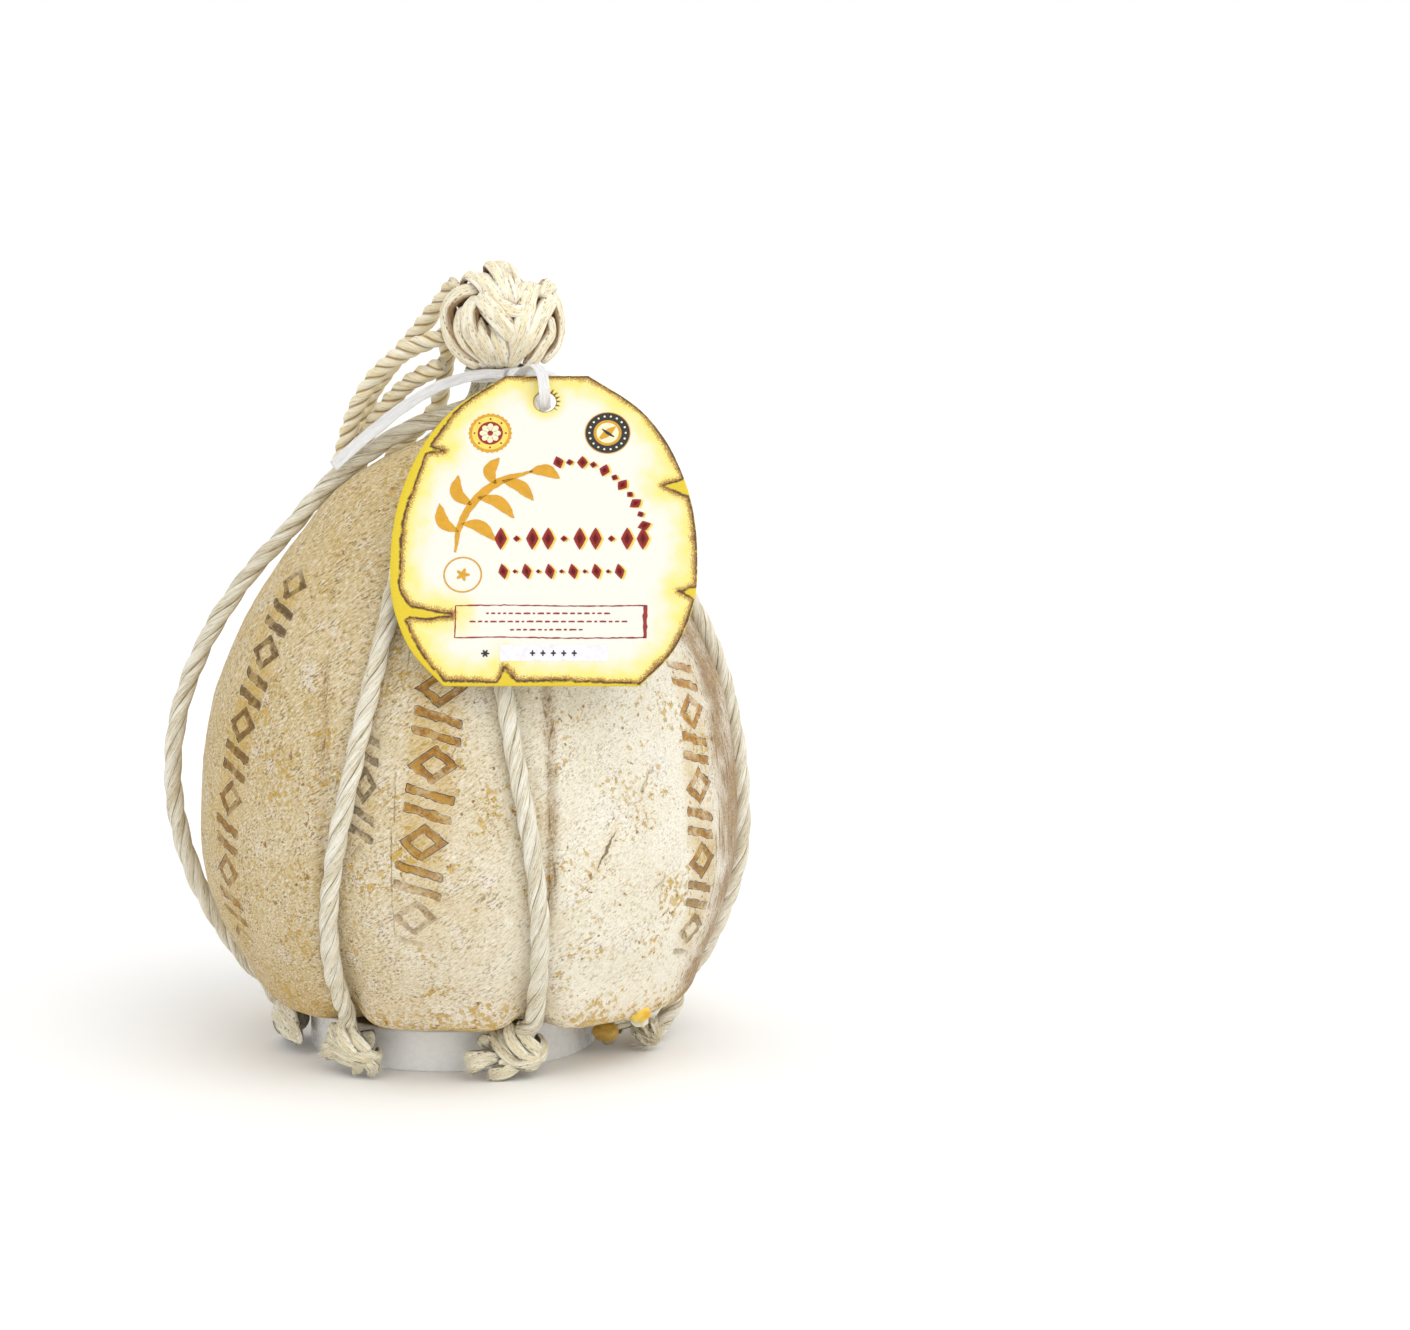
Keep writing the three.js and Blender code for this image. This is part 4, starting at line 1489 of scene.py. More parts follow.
TOP_KNOT = Knot("top_knot", (16, 1, 240), (
    Band(((9, -7, 249.5), (3, -6.5, 248.5), (-2, -4, 244), (-2.5, -5, 238), (-0.5, -7, 232.5),
          (3, -8.5, 228), (8.5, -9, 224.8)), (2.6, 3.1, 3.3, 3.0, 2.4)),
    Band(((8.5, -9, 247), (5.5, -11.5, 242.5), (5.5, -12.5, 237), (8, -12, 232), (10.5, -10.5, 227.5),
          (13.5, -9, 224.8)), (2.8, 3.2, 3.2, 2.6, 2.2)),
    Band(((3, -7, 244), (1.5, -9, 237), (3.5, -10, 231.5), (7, -9.5, 227), (11, -8.5, 224.6)),
         (2.2, 2.7, 2.4, 2.0)),
    Band(((8, -11, 240.5), (9.5, -14.6, 236), (11.5, -14.8, 231.5), (13.5, -12, 227), (16, -9.5, 224.6)),
         (1.7, 2.1, 2.0, 1.6)),
    Band(((11, -12, 238), (14, -15.4, 234.6), (15.6, -14.8, 230), (16, -11, 225)), (1.8, 2.3, 2.2, 1.8)),
    Band(((15, -12.5, 236.6), (18.3, -15, 233.6), (18.6, -13.4, 229.5), (17, -10, 225)),
         (1.8, 2.2, 2.1, 1.8)),
    Band(((8.5, -10, 248), (11.5, -15.2, 244.5), (15, -17.3, 240.5), (18, -16.8, 236.6), (20.5, -12, 232)),
         (2.4, 3.1, 3.3, 2.9, 1.8)),
    Band(((12, -13, 247), (16, -16, 244.6), (20, -16.8, 243), (24, -15, 243.4)), (1.8, 2.2, 2.2, 1.6)),
    Band(((26.5, -6, 251), (24, -12.5, 246), (22.5, -15.5, 239.5), (21, -15, 234), (18.5, -12.5, 229),
          (17, -9.5, 224.6)), (2.4, 2.9, 3.1, 2.8, 2.1)),
    Band(((31.5, -3, 246.5), (28.5, -10.5, 241.5), (26, -13.5, 236), (23, -13, 231.5), (19.5, -11, 227),
          (18, -9, 224.6)), (2.5, 3.1, 3.3, 2.9, 2.2)),
    Band(((27, -3, 250), (31.5, -2.5, 246.5), (33.5, -2, 241), (33.5, -2, 235), (32, -4, 230),
          (28, -6.5, 226)), (2.4, 2.8, 2.7, 2.5, 2.2)),
    Band(((30.5, -6.5, 241), (31, -7, 235.5), (28.5, -9, 231.5), (25.5, -9.5, 227), (22.5, -8.5, 224.6)),
         (2.1, 2.6, 2.6, 2.0)),
    Band(((10, -1, 254), (11, -3, 257), (12.6, -7, 256.6), (14.6, -11, 253.8), (16.4, -13.4, 249.5),
          (17.6, -14.5, 244)), (1.8, 2.1, 2.2, 2.1, 1.8)),
    Band(((12.5, 3, 254.5), (14, -1, 257.4), (15.8, -7, 256.4), (17.8, -11.8, 252.2), (19, -14, 247.5),
          (19.6, -14.6, 243.5)), (1.7, 2.0, 2.0, 1.9, 1.6)),
    Band(((15.5, 4, 254.5), (17, -2, 256.8), (19, -8, 253.6), (21, -12.4, 248.5), (21.6, -14, 244)),
         (1.7, 1.9, 2.0, 1.7)),
    Band(((6, -2, 251), (9, -7.5, 253), (11.5, -12, 250.5), (13.5, -14, 247.5), (15, -14.5, 243)),
         (2.0, 2.4, 2.4, 2.0)),
    Band(((2, 2, 250.5), (4, -2, 253.5), (6.5, -6.5, 253.2), (9, -10.5, 251), (11, -12.5, 247.5)),
         (1.6, 1.9, 1.9, 1.6)),
    Band(((21.5, -12, 245), (22, -12.5, 249), (23.5, -11.5, 250.8), (25, -11.5, 248), (25, -12, 244)),
         (1.2, 1.4, 1.4, 1.2)),
    Band(((27, -8, 247), (30, -4, 250), (30.5, 3, 249), (28, 8, 244)), (2.2, 2.7, 2.7, 2.2)),
    Band(((31, 2, 246), (29, 9, 240), (22, 13, 236), (12, 13.5, 238), (3, 9.5, 244), (1, 2, 247)),
         (2.4, 3, 3, 3, 2.6)),
    Band(((26, 9, 249), (19, 13, 244), (10, 12, 233), (5, 8, 227)), (2.5, 3, 3, 2.4)),
    Band(((22, 9, 226), (27, 8.5, 232), (24, 11, 242), (16, 9, 251)), (2.5, 3, 3, 2.4)),
    Band(((8, 4, 252), (4, 9, 246), (2, 9.5, 238), (6, 9, 230), (10, 8, 225.5)), (2.2, 2.8, 2.8, 2.2)),
    Band(((14, 3, 255), (17, 9, 252), (22, 12, 246), (27, 9.5, 241), (31, 4, 236)), (2, 2.6, 2.8, 2.4)),
    Band(((30, 2, 232), (26, 8, 229), (18, 11, 228.5), (9, 9, 230), (3, 4, 233)), (2.2, 2.8, 2.8, 2.4)),
    Band(((9, 5, 252), (14, 10.5, 248), (18, 12.5, 241), (19, 11.5, 233), (17, 8, 226)), (2.4, 3.2, 3.4, 3)),
    Band(((20, 5, 253), (14, 11, 246), (8, 12, 240), (5, 10, 233), (7, 7, 226)), (2.4, 3.2, 3.4, 3)),
    Band(((25, 6, 251), (27, 10, 245), (25, 12, 238), (22, 11, 231), (18, 8, 226)), (2.4, 3.2, 3.4, 3)),
    Band(((-1, -1, 244), (-1.5, 3, 239), (0.5, 5, 233), (5, 5, 227)), (2.4, 3.2, 3.2, 2.6)),
), ((16, 0, 240.5), (12.6, 10.2, 12.8)))

RING_KNOTS = (
    Knot("ring_knot_1", (-52, -2, 8), (
        Band(((-61.5, -5.5, 13.5), (-60, -11, 12.2), (-57, -17, 9.8), (-53.5, -22, 6.5), (-51, -25, 4)),
             (2.2, 4.2, 4.6, 3.4, 1.2), 0.3),
        Band(((-61, -5, 11), (-59.5, -11, 9.2), (-56, -17, 7), (-52.5, -21, 4.5)), (1.6, 3, 3, 1.2), 0.35),
        Band(((-60, 2, 10), (-59.5, -3, 12), (-58, -7, 9), (-54, -8, 4)), (2.4, 3, 3, 2.4)),
        Band(((-57, 4, 6), (-60, 0, 5), (-60, -5, 5.5), (-56, -9, 7)), (2.4, 2.8, 2.8, 2.2)),
    ), ((-55, -3, 8), (4.2, 5.5, 5.2))),
    Knot("ring_knot_2", (-27, -40, 8), (
        Band(((-36.5, -48, 17), (-34.5, -50.5, 14.5), (-32.5, -52.5, 12.2)), (1.9, 2.2, 2.0), 0.8),
        Band(((-39, -46.5, 16), (-37.5, -49, 13), (-36.5, -50, 10.8)), (1.8, 2.1, 1.9), 0.8),
        Band(((-40.5, -40.5, 10.5), (-38.5, -48, 10.2), (-33, -54.5, 9.2), (-28, -57, 8), (-24.5, -54.5, 6.5),
              (-23.5, -49, 7)), (1.9, 2.4, 2.6, 2.6, 2.1)),
        Band(((-35, -53, 19), (-34.8, -56.6, 15.2), (-32.8, -58.2, 11.6), (-30, -57.6, 8.4)),
             (1.2, 1.9, 2.1, 1.6), 0.7),
        Band(((-31.4, -52.5, 19), (-31.2, -56.4, 15.4), (-28.6, -58.2, 12), (-25.8, -57, 9)),
             (1.2, 1.9, 2.1, 1.6), 0.7),
        Band(((-41, -42, 7), (-37, -50, 7.2), (-31.5, -54.5, 5.8), (-27.5, -55.5, 5.2), (-25, -53, 4.6)),
             (1.8, 2.4, 2.5, 2.2)),
        Band(((-34, -50, 7.5), (-38, -48.5, 7.2), (-42, -45.5, 6.8)), (2.2, 2.6, 3.0), 0.55, True),
        Band(((-32.5, -48.5, 10.5), (-28.5, -52, 11.8), (-24.2, -54, 12.2)), (1.6, 2.9, 3.7), 0.3),
        Band(((-32.5, -53, 6.8), (-30.2, -55, 4.4), (-28.6, -56, 2.2)), (2.0, 2.3, 2.7), 0.42, True),
        Band(((-28, -55.5, 6.5), (-25.6, -56.8, 4.4), (-23.6, -57, 2.2)), (2.0, 2.2, 2.5), 0.42, True),
        Band(((-40, -44, 13), (-36, -46, 14), (-31, -49, 13)), (2, 2.4, 2)),
    ), ((-32.5, -47.5, 8.2), (6.4, 4.6, 4.8))),
    Knot("ring_knot_3", (14, -42, 8), (
        Band(((21.4, -56.6, 18), (21.2, -57.8, 15.4), (20.8, -58, 13)), (1.9, 2.2, 2.0), 0.8),
        Band(((24.6, -55, 17.6), (24.2, -56.6, 15), (24, -57, 12.6)), (1.9, 2.2, 2.0), 0.8),
        Band(((12, -52, 15.4), (14.3, -56, 12.9), (17.6, -59, 9.8), (21.6, -59, 6.9), (26, -55.5, 5),
              (28, -50, 5.4)), (1.8, 2.2, 2.4, 2.4, 2.0)),
        Band(((18.8, -58, 19.5), (19, -60.8, 15.6), (21.4, -62, 11.6), (24.6, -61, 8.2)),
             (1.2, 1.9, 2.1, 1.6), 0.7),
        Band(((22.4, -57.6, 19.5), (22.8, -60.4, 16), (26, -61, 12.4), (28.6, -57, 9.6)),
             (1.2, 1.9, 2.1, 1.6), 0.7),
        Band(((15.4, -51.5, 15.4), (17.8, -56.5, 13.4), (21.4, -60, 11.2), (25.2, -59.5, 9.7),
              (28.6, -54.5, 8.3), (29, -48.5, 10)), (1.8, 2.6, 2.9, 2.8, 2.2)),
        Band(((27.5, -49, 13), (29, -52.5, 10.6), (27.6, -57.5, 8.2), (23.6, -59.5, 7.4), (19, -59, 6.8),
              (15.4, -58.5, 4.8)), (1.8, 2.5, 2.7, 2.6, 2.0)),
        Band(((16, -58, 7.3), (12, -59.5, 7.8), (8.4, -60.2, 7.2), (4.8, -60, 6.2)), (1.7, 2.5, 3.2, 3.8),
             0.34, True),
        Band(((13.2, -53, 9.6), (11, -55.5, 12.2), (9.8, -56, 14.4)), (1.7, 2.4, 2.4), 0.45),
        Band(((23, -56.5, 6.4), (19.4, -58.6, 4.4), (15.8, -59.6, 3), (12, -59.4, 2.8)), (1.9, 2.7, 2.6, 2.1),
             0.45, True),
    ), ((20.5, -52.5, 8.6), (6.6, 4.6, 5.0))),
    Knot("ring_knot_4", (46, -14, 6), (
        Band(((58, -17, 11.5), (54, -21.5, 11.8), (49.5, -24.5, 10.6)), (1.6, 1.9, 1.1), 0.6, True),
        Band(((57, -16, 9), (53, -20.5, 9.4), (49, -23, 8.6)), (1.4, 1.7, 1.1), 0.6),
        Band(((52, -12, 5), (53, -17, 9), (50, -22, 10), (47, -22, 4)), (1.8, 2.2, 2.2, 1.8)),
        Band(((65, -16.5, 3), (62.2, -18.5, 6.2), (60, -19, 9.6)), (1.7, 2.5, 2.6), 0.45, True),
        Band(((65.8, -16, 4), (64.4, -17.8, 7.4), (62.8, -18, 10.8)), (1.6, 2.2, 2.2), 0.45, True),
        Band(((64, -17, 2.6), (61, -19, 4.4), (58.4, -19.5, 7)), (1.4, 2.1, 2.1), 0.45, True),
    ), ((49.2, -19.5, 6.6), (3.2, 4.0, 4.4))),
    Knot("ring_knot_5", (25, 34, 8), (
        Band(((26, 46, 12), (31, 47.5, 11), (36, 45, 7), (37, 41, 4)), (2.4, 3, 3, 2.2)),
        Band(((37, 42, 11), (34, 46.5, 9), (29, 47.5, 5.5), (26, 45, 3.5)), (2.4, 3, 3, 2.2)),
        Band(((33, 45, 7), (38, 45, 6), (43, 42, 5)), (2.2, 2.6, 3.0), 0.5, True),
        Band(((28, 46, 7), (25, 48, 5), (22, 50, 2.6)), (2.0, 2.4, 2.6), 0.5, True),
        Band(((32, 46, 17), (33, 47, 12), (32, 46.5, 8)), (2.4, 2.9, 2.4), 0.8),
    ), ((31, 42, 8), (5.4, 4.6, 4.8))),
    Knot("ring_knot_6", (-28, 34, 8), (
        Band(((-28, 46.5, 12), (-33.5, 48, 11), (-38.5, 45, 7), (-39.5, 41, 4)), (2.4, 3, 3, 2.2)),
        Band(((-39.5, 42, 11), (-36.5, 46.5, 9), (-31.5, 48, 5.5), (-28.5, 45, 3.5)), (2.4, 3, 3, 2.2)),
        Band(((-35.5, 45, 7), (-40.5, 44.5, 6), (-45, 41.5, 5)), (2.2, 2.6, 3.0), 0.5, True),
        Band(((-30.5, 46.5, 7), (-27.5, 48.5, 5), (-24.5, 50, 2.6)), (2.0, 2.4, 2.6), 0.5, True),
        Band(((-34.5, 46, 17), (-35, 47.5, 12), (-34.5, 46.5, 8)), (2.4, 2.9, 2.4), 0.8),
    ), ((-33.5, 42.5, 8), (5.4, 4.6, 4.8))),
)


@dataclass
class Knots:
    """The big knot over the neck, the six knots at the ring, and what is stuck to them."""

    rope: Rope = Rope("rope_knots", light=(255, 254, 244), dull=(251, 238, 200), deep=(134, 92, 26),
                      coarse=1.8, crevice=0.2)
    frayed: Rope = Rope("rope_frayed", light=(255, 253, 240), dull=(248, 236, 204), deep=(206, 176, 116))
    low_rope: Rope = Rope("rope_ends", light=(255, 252, 238), dull=(232, 220, 184), deep=(80, 60, 26),
                          coarse=1.6, crevice=0.25)

    def build(self) -> None:
        """Makes the knots, the wax and the brush."""
        self.knot(TOP_KNOT, self.rope.material(), 60)
        low = self.low_rope.material()
        for k, knot in enumerate(RING_KNOTS):
            self.knot(knot, low, 100 + 40 * k)
        self.wax()
        self.brush()

    def knot(self, knot: Knot, material: bpy.types.Material, seed: int) -> None:
        """Makes one knot in a finish, with details picked by the seed."""
        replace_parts(knot.shell(seed).piece(knot.node + "_turns", material, Slot.ROPE), knot.node)

    def wax(self) -> None:
        """Makes the lump of wax on the right knot and the two drops on the cheese above it."""
        drops = (("wax_lump", (48.6, -24.5, 8.0), (4.5, 3.8, 3.5), (192, 154, 60), (160, 126, 58)),
                 ("wax_drop", (60.0, -43.0, 18.4), (3.4, 1.6, 3.0), (240, 206, 84), (218, 164, 40)),
                 ("wax_film", (60.0, -41.0, 15.4), (2.9, 1.0, 2.0), (230, 226, 206), (206, 196, 164)))
        for k, (name, middle, half, main, other) in enumerate(drops):
            lump = ball(middle, half, 5 + k, 0.22)
            lump.values = {}
            lump.piece(name, Plain(name, main, other, 0.36, 300, 0.12).material(), Slot.ROPE)

    def brush(self) -> None:
        """Makes the frayed end beside the right rope's foot."""
        hairs = Hairs((3.0, 6.5), 0.13)
        parts = [hairs.tuft((63.8, -17.5, 3.8), way, 2.6, 190, 7 + k, 0.5)
                 for k, way in enumerate(((-0.6, -0.3, 0.75), (-0.2, -0.4, 0.9), (-0.9, -0.3, 0.4)))]
        Shell.joined(parts).piece("rope_end_brush", self.frayed.material(), Slot.ROPE)


# ---------------------------------------------------------------- the ring
@dataclass
class Ring:
    """Moulded plastic ring with rounded lips and one moulding tab."""

    outer: float = 47.5
    inner: float = 44.9
    height: float = 13.7
    lip: float = 0.8
    sides: int = 200

    def build(self) -> None:
        """Makes the ring: a rounded band turned about its upright axis, and its tab."""
        quarter = np.radians(np.linspace(0, 90, 6))
        lip = self.lip
        corners = ((self.outer - lip, lip, -90), (self.outer - lip, self.height - lip, 0),
                   (self.inner + lip, self.height - lip, 90), (self.inner + lip, lip, 180))
        profile = np.vstack([
            np.stack([x + lip * np.cos(quarter + math.radians(start)),
                      y + lip * np.sin(quarter + math.radians(start))], -1)
            for x, y, start in corners])
        turn = round_turn(self.sides)[:, None]
        reach, up = profile[None, :, 0], profile[None, :, 1]
        points = np.stack([RING_X + reach * np.sin(turn), -reach * np.cos(turn), up + 0 * turn], -1)
        points = np.concatenate([points, points[:1]], axis=0)
        band = Shell.of_grid(points, {}, caps=False)
        band.faces = band.faces[:, ::-1]
        side = math.radians(36)
        tab = ball((RING_X + self.outer * math.sin(side), -self.outer * math.cos(side), 0.9),
                   (2.4, 1.4, 0.9), 3, 0.02, 16, 24)
        tab.values = {}
        finish = Plain("ring_plastic", (240, 241, 240), (233, 234, 233), 0.28, 40, 0.02)
        made = Shell.joined([band, tab]).piece("ring_moulding", finish.material(), Slot.RING)
        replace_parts(made, "ring")


# ---------------------------------------------------------------- the white string
@dataclass(frozen=True)
class Strip:
    """Flat string: half width, half thickness, and how crumpled it is."""

    across: float = 1.9
    thick: float = 0.62
    crumple: float = 0.35
    around: int = 28
    step: float = 0.7

    def skin(self, route: Sequence[Point], facing: Point, seed: int,
             width: Sequence[float] = (1, 1)) -> Shell:
        """Strip along a route: a flat oval with lengthwise folds that wander.

        Args:
            route: Points that its middle passes through.
            facing: Direction that its flat side faces at the start.
            seed: Number that picks the folds.
            width: Factors on the width at even steps.

        Returns:
            The surface, with its place along the strip as "lay".
        """
        line = curve(route, self.step)
        _, face, across = carried(line, facing)
        gone = np.linspace(0, length_of(line), len(line))[:, None]
        wide = self.across * along(width, gone / gone[-1])
        angle = round_turn(self.around)[None, :]
        x = np.cos(angle) * wide
        flat = np.stack([x, 0 * x, gone * 0.12 + 0 * x], -1)
        fold = self.crumple * noise(flat, 0.8, seed, 2)
        y = np.sin(angle) * self.thick * (1 + 0.2 * noise(flat, 2, seed + 1)) + fold
        points = swept(line, across, face, x, y)
        return Shell.of_grid(points, {"lay": np.stack([x * 1.6, y, gone + 0 * x], -1), "groove": 0 * x})


@dataclass
class TagString:
    """White string: its loose tail, and the tied part round the neck and through the card."""

    finish: Rope = Rope("string", light=(255, 255, 255), dull=(240, 238, 236), deep=(206, 200, 192))
    strip: Strip = Strip()
    loop: tuple[Point, ...] = (
        (21.5, -15.5, 222.5), (24.5, -25, 225), (28, -37, 226.2), (30, -42.8, 223.8),
        (30.8, -45.2, 219), (30.8, -43.2, 215), (30.6, -38.5, 212.8), (29.5, -31, 215),
        (26.5, -22, 219), (23, -15, 221.2))
    stub: tuple[Point, ...] = ((22, -15, 221.8), (28, -17.5, 222.3), (33, -18.6, 221), (37, -19.4, 217.5))
    bead: Point = (20.2, -12.9, 221.7)
    hoop: tuple[float, float, float] = (11.4, 222.0, 0.6)

    def build(self) -> None:
        """Makes the tail, which is a cord, and the tied part."""
        material = self.finish.material()
        tail = self.strip.skin(STRING_TAIL, (0.2, -0.8, 0.55), 5, (0.9, 1.15, 1.4, 1.5, 1.45))
        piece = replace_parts(tail.piece("string_tail_strip", material, Slot.STRING), "string_tail")
        declare_cord(2 * self.strip.across)
        turn = np.linspace(0, FULL, 25)
        reach, height, sway = self.hoop
        hoop = np.stack([NECK_X + reach * np.sin(turn), -reach * np.cos(turn),
                         height + sway * np.sin(2 * turn)], -1)
        parts = [
            Strip(across=2.0, thick=0.5, crumple=0.3).skin(hoop, FRONT, 6),
            self.strip.skin(self.loop, (0, 0.3, 1), 7),
            self.strip.skin(self.stub, (0, -1, 0.3), 8),
            ball(self.bead, (3.1, 2.6, 3.0), 9, 0.12, 24, 32)]
        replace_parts(Shell.joined(parts).piece("tag_string_tied", material, Slot.STRING), "tag_string")


# ---------------------------------------------------------------- the card
@dataclass
class Card:
    """Egg-shaped label card with a flat foot, leaning back on the front rope."""

    x: float = 31.3
    low: float = 131.6
    back: float = -88.9
    lean: float = 0.555
    thick: float = 1.2
    length: float = 104.5
    hole: tuple[float, float, float] = (-0.5, 95.5, 3.5)
    half_widths: tuple[float, ...] = (30, 39.5, 44.6, 47.1, 47.5, 47, 45.2, 41.8, 36.6, 28, 13)
    spacing: float = 0.6
    bevel: float = 0.25
    tears: tuple[tuple[tuple[float, float], ...], ...] = (
        ((-41, 83.6), (-37.1, 81.3), (-32, 78.2), (-39.8, 76.7), (-44, 77)),
        ((-50, 35.5), (-44.9, 33.1), (-40.4, 26.1), (-35.4, 24.3), (-28, 23.9), (-28, 22.4), (-40.9, 22.1),
         (-43.9, 20.1), (-49, 19)),
        ((46, 70), (42.4, 68.8), (36.6, 66.6), (43.4, 63.5), (47, 62)),
        ((51, 34), (47.3, 32.7), (41.5, 31), (46.5, 28.4), (50, 27)),
        ((-15.5, -3), (-13.7, 1.4), (-11.6, 6.1), (-7.9, 1.4), (-6, -3)),
    )

    def placed(self, flat: Array) -> Array:
        """Points of the card's own frame in the CAD frame.

        Args:
            flat: Points across, up and out of the card.

        Returns:
            Points in the CAD frame.
        """
        tilt = math.pi / 2 - math.atan(self.lean)
        c, s = math.cos(tilt), math.sin(tilt)
        axes = np.array([[1, 0, 0], [0, c, s], [0, -s, c]])
        return np.array([self.x, self.back, self.low]) + flat @ axes

    def outline(self) -> Array:
        """The card's edge, anticlockwise from the right end of its foot.

        Returns:
            Points across and up.
        """
        t = np.linspace(0, 1, 90)
        right = np.stack([along(self.half_widths, t), t * self.length], -1)
        left = right[::-1] * np.array([-1, 1])
        low, high = self.half_widths[0], self.half_widths[-1]
        foot = np.stack([np.linspace(-low, low, 38)[1:-1], np.zeros(36)], -1)
        top = np.stack([np.linspace(high, -high, 18)[1:-1], np.full(16, self.length)], -1)
        return np.vstack([right, top, left, foot])

    def torn(self, flat: Array, gap: Array) -> Array:
        """Distance inside the printed torn line, negative in the border beyond it.

        The border is the distance to the card's edge less a width that grows to the left and the
        foot and wanders with noise; the notches cut into it by their own signed distances.

        Args:
            flat: Points across and up.
            gap: Their distances to the card's edge.

        Returns:
            The distances.
        """
        from_middle = unit(flat - np.array([0, 50]) + 1e-6)
        width = 0.35 + 2.6 * smooth(0.3, 0.95, -from_middle[:, 0]) + 0.9 * smooth(0.8, 1, -from_middle[:, 1])
        found = gap - width
        for corners in self.tears:
            found = np.minimum(found, -depth_in(flat, np.asarray(corners, float)))
        flat3 = np.column_stack([flat, np.zeros(len(flat))])
        return found - 0.75 * noise(flat3, 7, 61, 2) * smooth(0, 2, gap) - 0.3 * noise(flat3, 1.8, 62, 2)

    def from_eye(self, flat: Array) -> Array:
        """Distances of points across and up to the middle of the hole."""
        return np.hypot(flat[:, 0] - self.hole[0], flat[:, 1] - self.hole[1])

    def meshed(self, rim: Array, eye: Array) -> tuple[Array, Array]:
        """Flat mesh between the edge and the hole, finer near the edge and along the long notch.

        Args:
            rim: Points of the card's edge.
            eye: Points of the hole's edge.

        Returns:
            Points across and up, and triangles.
        """
        x, y = np.meshgrid(np.arange(-48, 48, self.spacing), np.arange(0.4, self.length, self.spacing))
        inner = np.stack([x.ravel(), y.ravel()], -1)
        room = depth_in(inner, rim)
        row, column = np.divmod(np.arange(len(inner)), x.shape[1])
        coarse = (row % 4 == 0) & (column % 4 == 0)
        free = (room > 0.35) & (self.from_eye(inner) > self.hole[2] + 0.4)
        free &= (room < 9) | coarse | (inner[:, 0] < -24) & (np.abs(inner[:, 1] - 24) < 9)
        n, m = len(rim), len(eye)
        edges = [(i, (i + 1) % n) for i in range(n)] + [(n + i, n + (i + 1) % m) for i in range(m)]
        found = delaunay_2d_cdt(
            [Vector(p) for p in np.vstack([rim, eye, inner[free]])], edges, [], 1, 1e-4)
        flat, faces = np.array([tuple(v) for v in found[0]]), np.array(found[2])
        return flat, faces[self.from_eye(flat[faces].mean(1)) > self.hole[2] * 0.99]

    def wall(self, loop: Array, tear: float, hole: float) -> Shell:
        """Upright wall round the card's edge or through its hole.

        Args:
            loop: Points of the edge.
            tear: Value of "tear" all over it.
            hole: Value of "hole" all over it.

        Returns:
            The surface.
        """
        levels = np.linspace(self.bevel, self.thick - self.bevel, 3)[:, None, None]
        wall = np.concatenate([np.broadcast_to(loop, (3, *loop.shape)),
                               np.broadcast_to(levels, (3, len(loop), 1))], -1)
        level = wall[..., 0] * 0
        values = {"card": wall, "tear": level + tear, "hole": level + hole}
        return Shell.of_grid(self.placed(wall), values, caps=False)

    def build(self) -> None:
        """Makes the card: a meshed face, the same behind it, and walls round edge and hole."""
        rim = self.outline()
        turn = round_turn(40)
        cx, cy, radius = self.hole
        eye = np.stack([cx + radius * np.cos(turn), cy + radius * np.sin(turn)], -1)
        flat, faces = self.meshed(rim, eye)
        gap = np.abs(depth_in(flat, rim))
        round_hole = self.from_eye(flat) - radius
        tear = self.torn(flat, gap)
        far = 30
        shells = []
        for height, side in ((self.thick, 1), (0.0, 0)):
            dip = self.bevel * np.exp(-np.minimum(gap, round_hole) / 0.3) * (1 if side else -1)
            shells.append(Shell(
                self.placed(np.column_stack([flat, height - dip])), faces if side else faces[:, ::-1],
                {"card": np.column_stack([flat, np.full(len(flat), side)]),
                 "tear": (tear if side else tear * 0 + far)[:, None],
                 "hole": round_hole[:, None] + far * (1 - side)}))
        outer, inner = self.wall(rim, -2, far), self.wall(eye, 8, 0.3)
        inner.faces = inner.faces[:, ::-1]
        made = Shell.joined([*shells, outer, inner]).piece("tag_card", CardStock().material(), Slot.CARD)
        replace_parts(made, "tag")
        Print(self).build()


def depth_in(points: Array, loop: Array) -> Array:
    """Distances from points to a closed line in the plane, negative outside it.

    A point is inside where the line crosses the ray to its right an odd number of times.

    Args:
        points: Points across and up.
        loop: Corners of the line.

    Returns:
        The distances.
    """
    found = np.full(len(points), np.inf)
    within = np.zeros(len(points), bool)
    for start, end in zip(loop, np.roll(loop, -1, axis=0)):
        way = end - start
        share = np.clip((points - start) @ way / max(way @ way, 1e-9), 0, 1)
        found = np.minimum(found, np.linalg.norm(points - start - share[:, None] * way, axis=-1))
        if way[1]:
            spans = (start[1] > points[:, 1]) != (end[1] > points[:, 1])
            within ^= spans & (points[:, 0] < start[0] + (points[:, 1] - start[1]) / way[1] * way[0])
    return np.where(within, found, -found)


def spun(x: Array, y: Array, turn: float, middle: Sequence[float]) -> Array:
    """Plane shape turned anticlockwise by an angle in degrees, with its origin moved to the middle."""
    c, s = math.cos(math.radians(turn)), math.sin(math.radians(turn))
    return np.stack([middle[0] + c * x - s * y, middle[1] + s * x + c * y], -1)


INKS: dict[str, Colour] = {
    "red": (150, 26, 18), "ochre": (216, 158, 14), "yellow": (240, 214, 92),
    "cream": (244, 236, 196), "dark": (26, 26, 30), "lilac": (238, 236, 242)}


